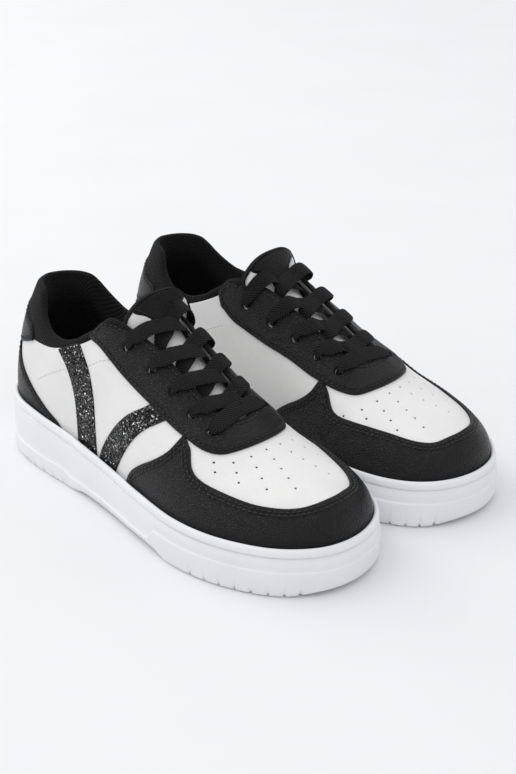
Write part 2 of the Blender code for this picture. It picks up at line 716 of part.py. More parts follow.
def lace_hole(point, side, outwards, tail=False):
    """The lace's way through one eyelet. A tail turns down the shoe's side underneath."""
    x, y = point
    under = -side if tail else side
    steps = [
        lace_point(x, y, under * 4.4, UNDER, 5.6), lace_point(x, y, under * 1.5, UNDER + 0.2, 3.4),
        lace_point(x, y, 0, -2.2, 3.2), lace_point(x, y, 0, 0.8, 3.2),
        lace_point(x, y, side * 1.3, OVER, 3.8), lace_point(x, y, side * 4.4, OVER, 6.2),
    ]
    if tail:
        steps.insert(0, lace_point(x - 1.5, y, under * 8, UNDER, 4.6))
        steps.insert(0, lace_point(x - 3.0, y, under * 11.5, UNDER - 0.2, 4.0))
    return steps if outwards else steps[::-1]


def lace_strip(start, end, on_top):
    """Across the throat, from beside one eyelet to under the other side's edge."""
    if on_top:
        shape = [(0.18, OVER), (0.27, OVER), (0.38, 1.6), (0.5, 1.4), (0.68, 1.2), (0.735, -1.5), (0.78, UNDER)]
    else:
        shape = [(0.18, OVER), (0.26, OVER), (0.31, 0.6), (0.36, -0.8), (0.46, -1.1), (0.62, -1.3), (0.72, -2.8), (0.77, UNDER)]
    rows = []
    for share, offset in shape:
        x = start[0] + (end[0] - start[0]) * share
        y = start[1] + (end[1] - start[1]) * share
        rows.append(lace_point(x, y, 0, offset, LACE_WIDTH))
    return rows


def lace_route():
    """The lace's points. It starts inside at the top outer eyelet, crosses down to the toe, runs
    straight across at the front pair, and crosses back."""
    outer, inner = EYELETS_OUTER, EYELETS_INNER
    row_a = [outer[0], inner[1], outer[2], inner[3], outer[4]]
    row_b = [inner[4], outer[3], inner[2], outer[1], inner[0]]
    route = []
    for k, point in enumerate(row_a):
        side = 1 if k % 2 == 0 else -1
        route += lace_hole(point, side, True, k == 0)
        if k < 4:
            route += lace_strip(point, row_a[k + 1], side > 0)
    a, b = outer[4], inner[4]
    for share in (0.2, 0.4, 0.6, 0.8):
        x, y = a[0] + (b[0] - a[0]) * share, a[1] + (b[1] - a[1]) * share
        route.append(lace_point(x, y, 0, OVER, LACE_WIDTH))
    for k, point in enumerate(row_b):
        side = -1 if k % 2 == 0 else 1
        route += lace_hole(point, side, False, k == 4)
        if k < 4:
            route += lace_strip(row_b[k + 1], point, side < 0)[::-1]
    return route


def make_lace(shoe):
    route = lace_route()
    centres = np.array([row[0] for row in route])
    points, faces = ribbon(centres, [row[1] for row in route], [row[2] for row in route], LACE_THICKNESS)
    shoe.add("lace", points, faces, "black_textile")
    for name, side, (x, y) in (("aglet_outer", 1, EYELETS_OUTER[0]), ("aglet_inner", -1, EYELETS_INNER[0])):
        end = centres[0] if side > 0 else centres[-1]
        tip = lace_point(x - 7, y, -side * 24, UNDER - 1.4, 0)[0]
        step = (tip - end) / np.linalg.norm(tip - end)
        flat = [[1.0, 0.0, -0.3]] * 2
        points, faces = ribbon([end + step * 0.9, end + step * 12], flat, [3.2, 3.2], 1.6)
        shoe.add(name, points, faces, "black_plastic")


def tongue_piece(shoe, name, colour, start, end, above, below, side_inset=0.0):
    """A layer of the tongue from a share of its length to another, between two depths."""
    path = smooth_path(TONGUE_PATH, 4)
    lengths = np.concatenate([[0], np.cumsum(np.linalg.norm(np.diff(path, axis=0), axis=1))])
    share = lengths / lengths[-1]
    half, arch = curve_through(TONGUE_HALF_WIDTH), curve_through(TONGUE_ARCH)
    steps = np.linspace(0, 1, TONGUE_ROWS)
    rows = [start] + [k for k in steps if start < k < end] + [end]
    columns = np.array([-1, -0.66, -0.33, 0, 0.33, 0.66, 1])
    stacks = []
    for depth in (above, below):
        for row in rows:
            for v in columns:
                width = float(half(row)) - side_inset
                across = float(np.clip(v * float(half(row)), -width, width))
                s = row - TONGUE_CORNER * abs(across / float(half(row))) ** 3 * float(ease(row, 0.75, 1))
                centre = np.array([np.interp(s, share, path[:, k]) for k in (0, 1)])
                ahead = np.array([np.interp(s + 0.01, share, path[:, k]) for k in (0, 1)])
                behind = np.array([np.interp(s - 0.01, share, path[:, k]) for k in (0, 1)])
                tx, tz = (ahead - behind) / np.linalg.norm(ahead - behind)
                normal = np.array([tz, -tx])
                drop = float(arch(row)) * (across / float(half(row))) ** 2
                if across < 0:
                    drop *= TONGUE_INNER_DROP
                x, z = centre + normal * (depth - drop)
                stacks.append((x, TONGUE_CENTRE + across, z))
    n, m = len(rows), len(columns)
    faces = grid_faces(n, m) + grid_faces(n, m, n * m)
    ring = [c for c in range(m)] + [r * m + m - 1 for r in range(1, n)]
    ring += [(n - 1) * m + c for c in range(m - 2, -1, -1)] + [r * m for r in range(n - 2, 0, -1)]
    for k, a in enumerate(ring):
        b = ring[(k + 1) % len(ring)]
        faces.append((a, b, b + n * m, a + n * m))
    return shoe.add(name, np.array(stacks), faces, colour, shoe.tongue_empty)


def make_tongue(shoe):
    tongue_piece(shoe, "tongue_face", "white_leather", 0.0, 1.0, 0.0, -1.0)
    tongue_piece(shoe, "tongue_foam", "foam", 0.02, 0.98, -1.4, -4.5, 1.0)
    tongue_piece(shoe, "tongue_lining", "black_textile", 0.01, 1.0, -4.9, -5.8, 0.8)
    tongue_piece(shoe, "tongue_patch", "black_leather", 10 / (TONGUE_ROWS - 1), 1.0, 1.1, 0.3, 0.5)


def make_shoe(name, side, parts, cutters):
    shoe = Shoe(name, side, parts, cutters)
    make_cupsole(shoe)
    make_plate(shoe, "midsole_foam", "foam", 0.2, 4.9, UPPER_BOTTOM - 0.8)
    make_plate(shoe, "insole_board", "board", -4.4, UPPER_BOTTOM - 0.1, 16.0)
    make_plate(shoe, "sock_liner", "black_textile", -4.3, 16.3, 20.3)
    make_panels(shoe)
    make_collar(shoe)
    make_tongue(shoe)
    make_lace(shoe)


def main():
    for obj in list(bpy.data.objects):
        bpy.data.objects.remove(obj)
    parts = bpy.data.collections.new("cheer_shoes")
    cutters = bpy.data.collections.new("cheer_shoes_cutters")
    bpy.context.scene.collection.children.link(parts)
    bpy.context.scene.collection.children.link(cutters)
    make_shoe("right", 1, parts, cutters)
    make_shoe("left", -1, parts, cutters)
    bpy.context.view_layer.update()


main()
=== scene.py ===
"""Looks of the cheer shoes: detailed leather, textile, lace and rubber pieces round the CAD frame.

Each shoe is drawn in the same millimetre frame as the CAD: x from heel (0) to toe (280), y towards
the outer side, z up. Every piece is made once and placed for the right and for the left shoe.
"""

import math

import bmesh
import bpy
import numpy as np
from mathutils import Matrix, Vector
from mathutils.geometry import delaunay_2d_cdt


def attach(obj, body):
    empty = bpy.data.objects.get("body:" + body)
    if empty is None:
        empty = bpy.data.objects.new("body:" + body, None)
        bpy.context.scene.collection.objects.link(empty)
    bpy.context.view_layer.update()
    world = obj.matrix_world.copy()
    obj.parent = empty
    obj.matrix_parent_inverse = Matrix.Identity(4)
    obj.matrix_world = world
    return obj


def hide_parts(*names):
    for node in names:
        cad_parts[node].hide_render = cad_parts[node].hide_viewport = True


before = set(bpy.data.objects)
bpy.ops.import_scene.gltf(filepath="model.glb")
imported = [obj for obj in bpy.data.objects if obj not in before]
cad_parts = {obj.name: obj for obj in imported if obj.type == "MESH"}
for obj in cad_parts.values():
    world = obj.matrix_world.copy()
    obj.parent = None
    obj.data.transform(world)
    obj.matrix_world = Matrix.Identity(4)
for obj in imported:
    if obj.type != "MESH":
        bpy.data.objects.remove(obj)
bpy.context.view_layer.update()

MM = 0.001

# Driving sizes, in millimetres
SHOE_LENGTH = 280.0
SOLE_OVERLAP = 2.0  # the upper is out of sight this far below the sole's rim
LAST_INSET = 5.8  # the last's outline lies this far inside the sole's widest line
SOLE_EDGE = [  # (x, y) round the sole's widest line: outer side from heel to toe, then back
    (0, 0), (2, 10.6), (6, 19.6), (15, 29), (30, 36.5), (55, 40.8), (90, 42.0), (125, 45.2),
    (160, 51), (195, 55.2), (220, 52.9), (240, 46.5), (257, 37.4), (269, 26), (277, 13),
    (280, -4), (277, -21), (269, -35.5), (257, -46), (240, -52.8), (220, -55), (195, -52.4),
    (160, -44.4), (125, -38.2), (90, -37.8), (55, -39.8), (30, -36.5), (15, -29),
    (6, -19.6), (2, -10.6),
]
RIM_HEIGHT = [(0, 38.2), (40, 38.0), (140, 30.7), (215, 29.0), (280, 28.8)]
RIDGE_HEIGHT = [
    (0, 124), (60, 124), (95, 121), (126, 109), (142, 100), (158, 91), (173, 82), (188, 74),
    (205, 64.5), (225, 57), (245, 52), (258, 48),
]
RIDGE_SHIFT = [(0, 0), (60, -3), (120, -7), (160, -5), (200, -4), (240, -3), (280, -4)]
WIDTH_POWER_OUTER = [
    (0, 2.4), (60, 2.3), (126, 2.2), (160, 2.05), (190, 1.85), (250, 1.85), (280, 2.1),
]
WIDTH_POWER_INNER = [
    (0, 2.4), (60, 2.3), (126, 2.2), (160, 2.05), (190, 1.92), (225, 2.05), (280, 2.1),
]
HEIGHT_POWER = [(0, 2.2), (126, 2.2), (188, 1.95), (225, 2.15), (280, 2.1)]
THROAT_LIFT_OUTER = [  # how much higher the throat's edge stands than the plain last
    (96, 0), (108, 3.2), (118, 1.6), (130, -0.8), (145, -1.5), (160, -1.6), (176, -0.8), (191, 0.3),
    (200, 0),
]
THROAT_LIFT_INNER = [
    (96, 0), (108, 3.2), (121, 2.4), (140, 1.0), (157, 0.6), (175, 0.4), (190, 0.4), (206, 0),
]
HEEL_LEAN = [
    (30, 0.5), (38, 0), (44, -0.3), (54, 0.8), (68, 3.6), (80, 6.2), (95, 10.5), (108, 14), (125, 18),
]
TOE_CAP_START = 258.0
UPPER_BOTTOM = 14.3  # where the upper's wall ends inside the sole cup

OVERLAY = 1.3  # the black panels' faces stand this far out from the last

# Collar and panels
COLLAR_TOP = [
    (0, 108.5), (20, 109.8), (28, 108.8), (34, 105), (40, 99.5), (50, 93), (60, 89), (70, 88.2),
    (80, 91), (90, 96.3), (98, 101.5), (103, 105),
]
BAND_LOW = [(0, 80), (45, 80.6), (62, 82.1), (72.5, 84.7), (88.6, 91.6), (97.8, 97.4), (103, 102)]
COLLAR_FRONT = 103.0
COLLAR_PAD = 4.6
EYELETS_OUTER = [(123.6, 20.4), (143, 19.2), (160.2, 19.0), (176.6, 19.4), (191.4, 18.3)]
EYELETS_INNER = [(117.5, -25), (137.5, -24.8), (155.5, -23.9), (172, -23.6), (187.5, -22.5)]
QUARTER_HOLE, PANEL_HOLE = 2.25, 2.45  # radii of the lace holes in the white and the black leather
PERFORATION_RADIUS = 0.72

# Tongue
TONGUE_PATH = [  # (x, z) along the middle of its top face
    (193.5, 66.5), (186, 69.8), (171, 77.6), (155, 86.4), (140, 94.6), (131, 100.2),
    (125.5, 105.2), (121.6, 110.6), (119, 116.6), (117.2, 123),
]
TONGUE_HALF_WIDTH = [(0, 13), (0.3, 15), (0.6, 16), (0.8, 20), (0.92, 23), (1, 23)]
TONGUE_ARCH = [(0, 4), (0.3, 8), (0.55, 10), (0.75, 10.5), (1, 9)]
TONGUE_ARCH_POWER = [(0, 2), (0.5, 2.3), (0.8, 2.9), (1, 3)]
TONGUE_CORNER = 0.06  # share of its length by which the top's rounded corners fall short
TONGUE_INNER_DROP = [(0, 1.2), (0.6, 1.1), (0.85, 1), (1, 1)]
TONGUE_SHIFT = 4.0  # the free end leans to the side that each shoe turns away
TONGUE_CENTRE = -4.6

# Placement of the left shoe beside the right one, as they stand on the floor
RIGHT_PLACE = (-54.85, -1.25)
LEFT_PLACE = (49.05, 1.95)
LEFT_TURN = math.radians(5.7)


# ---------------------------------------------------------------- curves

def curve_through(points):
    """A smooth function of x through (x, value) points that doesn't overshoot between them."""
    xs, ys = np.array(points, float).T
    step = np.diff(xs)
    rise = np.diff(ys) / step
    slope = np.zeros(len(xs))
    slope[0], slope[-1] = rise[0], rise[-1]
    same_way = rise[:-1] * rise[1:] > 0
    both = np.where(same_way, rise[:-1] + rise[1:], 1.0)
    slope[1:-1] = np.where(same_way, 2 * rise[:-1] * rise[1:] / both, 0.0)

    def value(x):
        x = np.clip(x, xs[0], xs[-1])
        i = np.clip(np.searchsorted(xs, x, side="right") - 1, 0, len(step) - 1)
        t = (x - xs[i]) / step[i]
        return (
            (1 + 2 * t) * (1 - t) ** 2 * ys[i] + t * (1 - t) ** 2 * step[i] * slope[i]
            + t * t * (3 - 2 * t) * ys[i + 1] + t * t * (t - 1) * step[i] * slope[i + 1]
        )

    return value


def smooth_path(points, steps, closed=False):
    """Points along a smooth curve through the given ones, with the given steps between two."""
    p = np.array(points, float)
    n = len(p)
    spans = n if closed else n - 1
    if not closed:
        p = np.vstack([2 * p[0] - p[1], p, 2 * p[-1] - p[-2]])
    out = []
    for k in range(spans):
        a, b, c, d = [p[(k + o - 1) % n] if closed else p[k + o] for o in range(4)]
        ab, bc, cd = [max(np.linalg.norm(v), 1e-6) ** 0.5 for v in (b - a, c - b, d - c)]
        leave = (c - b) - ((c - a) / (ab + bc) - (b - a) / ab) * bc
        arrive = (c - b) + ((d - c) / cd - (d - b) / (bc + cd)) * bc
        for s in range(steps):
            t = s / steps
            out.append(
                (2 * t ** 3 - 3 * t ** 2 + 1) * b + (t ** 3 - 2 * t ** 2 + t) * leave
                + (3 * t ** 2 - 2 * t ** 3) * c + (t ** 3 - t ** 2) * arrive
            )
    if not closed:
        out.append(p[-2])
    return np.array(out)


def lengths_along(points):
    """Distance along a path from its first point to each one."""
    return np.concatenate([[0], np.cumsum(np.linalg.norm(np.diff(points, axis=0), axis=1))])


def grow_loop(loop, distance):
    """A closed outline moved outwards by a distance, or inwards by a negative one."""
    loop = np.array(loop, float)
    along = np.roll(loop, -1, axis=0) - np.roll(loop, 1, axis=0)
    out = np.stack([along[:, 1], -along[:, 0]], axis=1)
    out /= np.linalg.norm(out, axis=1)[:, None]
    area = np.sum(loop[:, 0] * np.roll(loop[:, 1], -1) - np.roll(loop[:, 0], -1) * loop[:, 1])
    return loop + out * (distance if area > 0 else -distance)


def ease(x, start, end):
    """0 before start, 1 after end, and a smooth step between them."""
    t = np.clip((np.asarray(x, float) - start) / (end - start), 0, 1)
    return t * t * (3 - 2 * t)


# ---------------------------------------------------------------- the last

rim_height = curve_through(RIM_HEIGHT)
ridge_height = curve_through(RIDGE_HEIGHT)
ridge_shift = curve_through(RIDGE_SHIFT)
width_power_outer = curve_through(WIDTH_POWER_OUTER)
width_power_inner = curve_through(WIDTH_POWER_INNER)
height_power = curve_through(HEIGHT_POWER)
heel_lean = curve_through(HEEL_LEAN)
throat_lift_outer = curve_through(THROAT_LIFT_OUTER)
throat_lift_inner = curve_through(THROAT_LIFT_INNER)
collar_top = curve_through(COLLAR_TOP)
band_low = curve_through(BAND_LOW)


def last_edges():
    """The last's outline as x and y tables for its outer and inner sides, heel to toe."""
    loop = grow_loop(smooth_path(SOLE_EDGE, 24, closed=True), -LAST_INSET)
    loop = np.roll(loop, -int(loop[:, 0].argmin()), axis=0)
    tip = int(loop[:, 0].argmax())
    first, second = loop[: tip + 1], np.vstack([loop[tip:], loop[:1]])[::-1]
    return (first, second) if first[:, 1].mean() > 0 else (second, first)


OUTER_EDGE, INNER_EDGE = last_edges()
HEEL_X, TIP_X = OUTER_EDGE[0, 0], OUTER_EDGE[-1, 0]


def station_x(t):
    """Distance from the heel at station t, packed closer at both rounded ends."""
    return HEEL_X + (TIP_X - HEEL_X) * (1 - np.cos(np.pi * np.asarray(t, float))) / 2


def station_t(x):
    """The station at a distance from the heel."""
    return np.arccos(1 - 2 * (np.asarray(x, float) - HEEL_X) / (TIP_X - HEEL_X)) / np.pi


def section_base(x):
    """Height at which the last turns into the wall below the rim."""
    return rim_height(x) - 3.0


def section_top(x):
    """Height of the ridge line, closing down like an ellipse at the toe's tip."""
    low = section_base(x)
    t = np.clip((x - TOE_CAP_START) / (TIP_X - TOE_CAP_START), 0, 1)
    start = ridge_height(TOE_CAP_START)
    nose = low + (start - low) * np.sqrt(np.clip(1 - t ** 2.2, 0, 1)) - 4 * t * (1 - t)
    return np.where(x <= TOE_CAP_START, ridge_height(x), nose)


def last(t, g):
    """A point of the last. g runs from 0 at the outer rim over the ridge to pi at the inner
    rim, and 0 to -1 (or pi to pi + 1) is the wall below the rim, down to UPPER_BOTTOM."""
    t, g = np.broadcast_arrays(np.asarray(t, float), np.asarray(g, float))
    x = station_x(t)
    below = np.clip(np.maximum(-g, g - np.pi), 0, 1)
    angle = np.clip(g, 0, np.pi)
    outer = angle <= np.pi / 2
    y_outer, y_inner = np.interp(x, *OUTER_EDGE.T), np.interp(x, *INNER_EDGE.T)
    middle = (y_outer + y_inner) / 2
    to_tip = ease(x, 262, TIP_X)
    to_heel = 1 - ease(x, HEEL_X, 25)
    free = (1 - to_tip) * (1 - to_heel)
    centre = ridge_shift(x) * free + middle * (1 - free)
    power = np.where(outer, width_power_outer(x), width_power_inner(x))
    across = np.abs(np.cos(angle)) ** (2 / power)
    up = np.abs(np.sin(angle)) ** (2 / height_power(x))
    edge = np.where(outer, y_outer, y_inner)
    low = section_base(x)
    y = centre + (edge - centre) * across
    z = low + (section_top(x) - low) * up
    z = z + (UPPER_BOTTOM - low) * below
    lift = np.where(outer, throat_lift_outer(x), throat_lift_inner(x))
    from_rim = np.minimum(angle, np.pi - angle)
    z = z + lift * np.sin(2 * from_rim) ** 2 * ease(from_rim, 0.35, 0.85)
    x = x + heel_lean(z) * (1 - ease(x, 5, 80))
    return np.stack([x, y, z], axis=-1)


def last_normal(t, g):
    """The outward normal of the last."""
    t, g = np.broadcast_arrays(np.asarray(t, float), np.asarray(g, float))
    tc, gc = np.clip(t, 0.004, 0.996), np.clip(g, -0.98, np.pi + 0.98)
    gc = np.where(np.abs(gc) < 0.03, 0.03 * np.where(gc < 0, -1, 1), gc)
    along = last(tc + 0.003, gc) - last(tc - 0.003, gc)
    round_it = last(tc, gc + 0.01) - last(tc, gc - 0.01)
    n = np.cross(round_it, along)
    n /= np.linalg.norm(n, axis=-1)[..., None] + 1e-12
    at_heel, at_tip = t < 0.0005, t > 0.9995
    n = np.where(at_heel[..., None], n * [1, 0, 1], n)
    n = np.where(at_tip[..., None], [1.0, 0.0, 0.0], n)
    return n / np.linalg.norm(n, axis=-1)[..., None]


def skin(t, g, offset):
    """A point at an offset from the last along its normal."""
    return last(t, g) + last_normal(t, g) * np.asarray(offset, float)[..., None]


def girth_at_height(t, z, outer_side):
    """The girth angle at which the last reaches a height."""
    x = station_x(t)
    low = section_base(x)
    share = np.clip((z - low) / (section_top(x) - low), 0, 1)
    g = np.arcsin(share ** (height_power(x) / 2))
    g = np.where(z < low, -(low - z) / (low - UPPER_BOTTOM), g)
    return g if outer_side else np.pi - g


# ---------------------------------------------------------------- charts on the last

def warp(w):
    """Girth angle from a chart angle that runs evenly round the section."""
    a = np.clip(w, 0, np.pi)
    s, c = np.sin(a) ** 1.1, np.abs(np.cos(a)) ** 1.1 * np.sign(np.cos(a))
    return np.arctan2(s, c) + np.minimum(w, 0) + np.maximum(w - np.pi, 0)


def unwarp(g):
    """Chart angle from a girth angle."""
    a = np.clip(g, 0, np.pi)
    p = 1 / 1.1
    s, c = np.sin(a) ** p, np.abs(np.cos(a)) ** p * np.sign(np.cos(a))
    return np.arctan2(s, c) + np.minimum(g, 0) + np.maximum(g - np.pi, 0)


def locate(ab, heel):
    """Station and girth of chart points. The heel chart has a signed station, so that a piece
    can wrap round the back of the heel without a break."""
    a, b = ab[..., 0], ab[..., 1]
    if heel:
        return np.abs(a), warp(np.where(a >= 0, b, np.pi - b))
    return a, warp(b)


def surface(ab, offset, heel=False):
    """Points at an offset from the last over chart points."""
    t, g = locate(np.asarray(ab, float), heel)
    return last(t, g) + last_normal(t, g) * np.broadcast_to(offset, t.shape)[..., None]


def plan_girth(x, y):
    """The girth angle over points of the plan."""
    shift = ridge_shift(x)
    outer = y >= shift
    edge = np.where(outer, np.interp(x, *OUTER_EDGE.T), np.interp(x, *INNER_EDGE.T))
    power = np.where(outer, width_power_outer(x), width_power_inner(x))
    g = np.arccos(np.clip((y - shift) / (edge - shift), 0, 1) ** (power / 2))
    return np.where(outer, g, np.pi - g)


def on_plan(points, steps=6):
    """Chart points over a smooth (x, y) outline."""
    x, y = smooth_path(points, steps).T
    return np.column_stack([station_t(x), unwarp(plan_girth(x, y))])


def on_side(points, outer=True, steps=6):
    """Chart points at a smooth (x, z) outline seen from the side, allowing for the heel's lean."""
    x, z = smooth_path(points, steps).T
    x0 = x.copy()
    for _ in range(30):
        x0 = np.clip(x - heel_lean(z) * (1 - ease(x0, 5, 80)), HEEL_X, TIP_X)
    t = station_t(x0)
    low = section_base(x0)
    share = np.clip((z - low) / (section_top(x0) - low), 0, 1)
    h = np.arcsin(share ** (height_power(x0) / 2))
    h = unwarp(np.where(z < low, -(low - z) / (low - UPPER_BOTTOM), h))
    return np.column_stack([t, h if outer else np.pi - h])


def even(loop, spacing, heel=False, closed=True):
    """The same outline with points at an even spacing in millimetres."""
    loop = np.asarray(loop, float)
    if closed:
        loop = np.vstack([loop, loop[:1]])
    along = lengths_along(surface(loop, 0, heel))
    count = max(8, int(along[-1] / spacing))
    marks = np.linspace(0, along[-1], count + 1)
    if closed:
        marks = marks[:-1]
    return np.column_stack([np.interp(marks, along, loop[:, k]) for k in (0, 1)])


def chart_slopes(ab, heel=False, e=0.002):
    """How a point on the last moves with each chart coordinate."""
    return [(surface(ab + d, 0, heel) - surface(ab - d, 0, heel)) / (2 * e) for d in ([e, 0], [0, e])]


def inward_step(ab, heel):
    """The chart step for 1 mm inwards from each point of a closed outline."""
    p = surface(ab, 0, heel)
    along = np.roll(p, -1, axis=0) - np.roll(p, 1, axis=0)
    along /= np.linalg.norm(along, axis=1)[:, None] + 1e-9
    inward = np.cross(last_normal(*locate(ab, heel)), along)
    inward /= np.linalg.norm(inward, axis=1)[:, None] + 1e-9
    ja, jb = chart_slopes(ab, heel)
    aa, bb, cc = (ja * ja).sum(1), (jb * jb).sum(1), (ja * jb).sum(1)
    ra, rb = (ja * inward).sum(1), (jb * inward).sum(1)
    det = aa * bb - cc * cc + 1e-6
    return np.column_stack([(bb * ra - cc * rb) / det, (aa * rb - cc * ra) / det])


def chart_area(loop):
    """Signed area of a chart outline."""
    return np.sum(loop[:, 0] * np.roll(loop[:, 1], -1) - np.roll(loop[:, 0], -1) * loop[:, 1]) / 2


def inset(loop, distance, heel):
    """An outline moved inwards over the last by a distance in millimetres."""
    step = inward_step(loop, heel)
    probe = loop + step * 0.2
    sign = 1 if abs(chart_area(probe)) < abs(chart_area(loop)) else -1
    return loop + step * sign * distance


def inside(points, loop):
    """True for each chart point inside a loop."""
    x, y = points[:, 0][:, None], points[:, 1][:, None]
    x0, y0 = loop[:, 0], loop[:, 1]
    x1, y1 = np.roll(x0, -1), np.roll(y0, -1)
    with np.errstate(divide="ignore", invalid="ignore"):
        cross = ((y0 > y) != (y1 > y)) & (x < (x1 - x0) * (y - y0) / (y1 - y0) + x0)
    return cross.sum(1) % 2 == 1


def distance_to(points, samples):
    """Distance in millimetres from each point to the nearest sample."""
    out = np.empty(len(points))
    for k in range(0, len(points), 2000):
        part = points[k:k + 2000]
        out[k:k + 2000] = np.sqrt(((part[:, None] - samples[None]) ** 2).sum(-1).min(1))
    return out


CHART_SCALE = np.array([400.0, 52.0])  # millimetres for one unit of each chart coordinate, about
STITCH_LENGTH, STITCH_PITCH, THREAD_RADIUS = 2.5, 3.2, 0.3


def in_sight(border):
    """The points of an outline that the sole's rim doesn't hide."""
    return border[border[:, 2] > rim_height(border[:, 0]) - SOLE_OVERLAP]


def panel(outline, heel=False, holes=(), low=0.02, high=OVERLAY, edge=0.5, rows=(), crease=0.25,
          puff=0.2, step=2.4, spacing=1.3, bump=None):
    """A leather panel on the last: rounded cut edges, sunk stitch lines and a smooth face.
    rows are the distances of its stitch lines from the edge. bump(points) may add more height.
    Gives its points and faces."""
    loop = even(outline, spacing, heel)
    border = in_sight(surface(loop, 0, heel))
    edges = [border]
    points, faces, strips = [], [], []

    def profile(d):
        height = high + puff * (1 - np.exp(-np.asarray(d) / 3.0))
        for row in rows:
            height = height - crease * np.exp(-((d - row) / 0.55) ** 2)
        return height

    rings = [(0.0, low), (0.0, high - edge), (edge * 0.3, high - edge * 0.3), (edge, None)]
    finals = []
    for ring_loop, sign in [(loop, 1)] + [(h, -1) for h in holes]:
        stack = []
        for d, offset in rings:
            ring = inset(ring_loop, d * sign, heel)
            value = profile(d) if offset is None else offset
            stack.append(surface(ring, value, heel))
        finals.append(ring)
        strips.append(stack)
        if sign < 0:
            edges.append(surface(ring_loop, 0, heel))
    start = 0
    for stack in strips:
        n = len(stack[0])
        points += stack
        for k in range(len(stack) - 1):
            for c in range(n):
                d = (c + 1) % n
                here, above = start + k * n, start + (k + 1) * n
                faces.append((here + c, here + d, above + d, above + c))
        start += len(stack) * n
    band = (1.0, 1.5, 2.0, 2.5, 3.0, 3.6, 4.4, 5.4) if rows else (1.2, 2.2, 3.6, 5.2)
    seeds = []
    for d in band:
        ring = inset(loop, d, heel)
        ring = ring[inside(ring, loop)]
        if len(ring):
            gap = distance_to(surface(ring, 0, heel), border)
            seeds.append(ring[np.abs(gap - d) < 0.18 * d])
    lows, highs = loop.min(0), loop.max(0)
    ticks = [np.arange(lows[k], highs[k], step / CHART_SCALE[k]) for k in (0, 1)]
    grid = np.stack(np.meshgrid(*ticks), axis=-1).reshape(-1, 2)
    grid = grid[inside(grid, loop)]
    if len(grid):
        seeds.append(grid[distance_to(surface(grid, 0, heel), border) > band[-1] + 1.0])
    seeds = np.vstack(seeds)
    for hole, samples in zip(finals[1:], edges[1:]):
        seeds = seeds[~inside(seeds, hole)]
        seeds = seeds[distance_to(surface(seeds, 0, heel), samples) > 1.1]
    verts, constraints = [], []
    for ring in finals:
        n, first = len(ring), sum(len(v) for v in verts)
        verts.append(ring)
        constraints += [(first + k, first + (k + 1) % n) for k in range(n)]
    fixed = sum(len(v) for v in verts)
    verts.append(seeds)
    flat = np.vstack(verts) * CHART_SCALE
    made = delaunay_2d_cdt([Vector(p) for p in flat], constraints, [], 1, 1e-7, True)
    chart = np.array([tuple(v) for v in made[0]]) / CHART_SCALE
    on_ring = np.array([any(i < fixed for i in origin) for origin in made[3]])
    triangles = np.array(made[2])
    middles = chart[triangles].mean(1)
    keep = inside(middles, finals[0])
    for hole in finals[1:]:
        keep &= ~inside(middles, hole)
    base = surface(chart, 0, heel)
    gap = distance_to(base, border)
    height = np.where(on_ring, profile(edge), profile(gap))
    normal = last_normal(*locate(chart, heel))
    if bump is not None:
        height = height + bump(base) * ease(gap, edge, 4)
    points.append(base + normal * height[:, None])
    faces += [tuple(start + i for i in tri) for tri in triangles[keep]]
    return np.vstack(points), faces


def stitch_row(outline, distance, height, heel=False, closed=True, keep=None):
    """A row of sewn stitches at a distance inside an outline: short rounded lengths of thread
    that dip into the leather at both ends. keep(points) is True where the row is sewn."""
    loop = even(outline, 0.8, heel, closed)
    seen = in_sight(surface(loop, 0, heel))
    row = inset(loop, distance, heel) if distance else loop
    p = surface(row, 0, heel)
    good = np.ones(len(p), bool)
    if distance:
        good = np.abs(distance_to(p, seen) - distance) < 0.2 * distance
    if keep is not None:
        good &= keep(p)
    normal = last_normal(*locate(row, heel))
    if closed:
        p, normal, good = [np.concatenate([v, v[:1]]) for v in (p, normal, good)]
    along = lengths_along(p)
    starts = np.arange(0, along[-1] - STITCH_LENGTH, STITCH_PITCH)
    starts = starts[np.interp(starts + STITCH_LENGTH / 2, along, good.astype(float)) > 0.99]
    u = np.array([0.0, 0.12, 0.5, 0.88, 1.0])
    size = np.array([0.25, 0.8, 1.0, 0.8, 0.25])[None, :, None, None] * THREAD_RADIUS
    lift = np.array([-0.25, 0.02, 0.12, 0.02, -0.25])[None, :, None, None]
    spots = starts[:, None] + u * STITCH_LENGTH
    pos = np.stack([np.interp(spots, along, p[:, k]) for k in range(3)], -1)
    nor = np.stack([np.interp(spots, along, normal[:, k]) for k in range(3)], -1)
    nor /= np.linalg.norm(nor, axis=-1)[..., None]
    tan = pos[:, -1:] - pos[:, :1]
    tan = tan / (np.linalg.norm(tan, axis=-1)[..., None] + 1e-9)
    side = np.cross(np.broadcast_to(tan, nor.shape), nor)[:, :, None]
    up = nor[:, :, None]
    around = (np.arange(6) * np.pi / 3)[None, None, :, None]
    rings = pos[:, :, None] + up * (height + lift)
    rings = rings + size * (np.cos(around) * side * 1.25 + np.sin(around) * up)
    return join(*[sweep(stitch) for stitch in rings])


def join(*pieces):
    """Several (points, faces) as one."""
    points, faces, start = [], [], 0
    for p, f in pieces:
        points.append(p)
        faces += [tuple(start + i for i in face) for face in f]
        start += len(p)
    return np.vstack(points), faces


def sweep(sections):
    """Points and faces through equal rings, one after another, closed by a face at each end."""
    sections = np.array(sections)
    rows, n = sections.shape[:2]
    faces = []
    for r in range(rows - 1):
        for c in range(n):
            d = (c + 1) % n
            faces.append((r * n + c, r * n + d, (r + 1) * n + d, (r + 1) * n + c))
    faces.append(tuple(reversed(range(n))))
    faces.append(tuple(range((rows - 1) * n, rows * n)))
    return sections.reshape(-1, 3), faces


# ---------------------------------------------------------------- materials

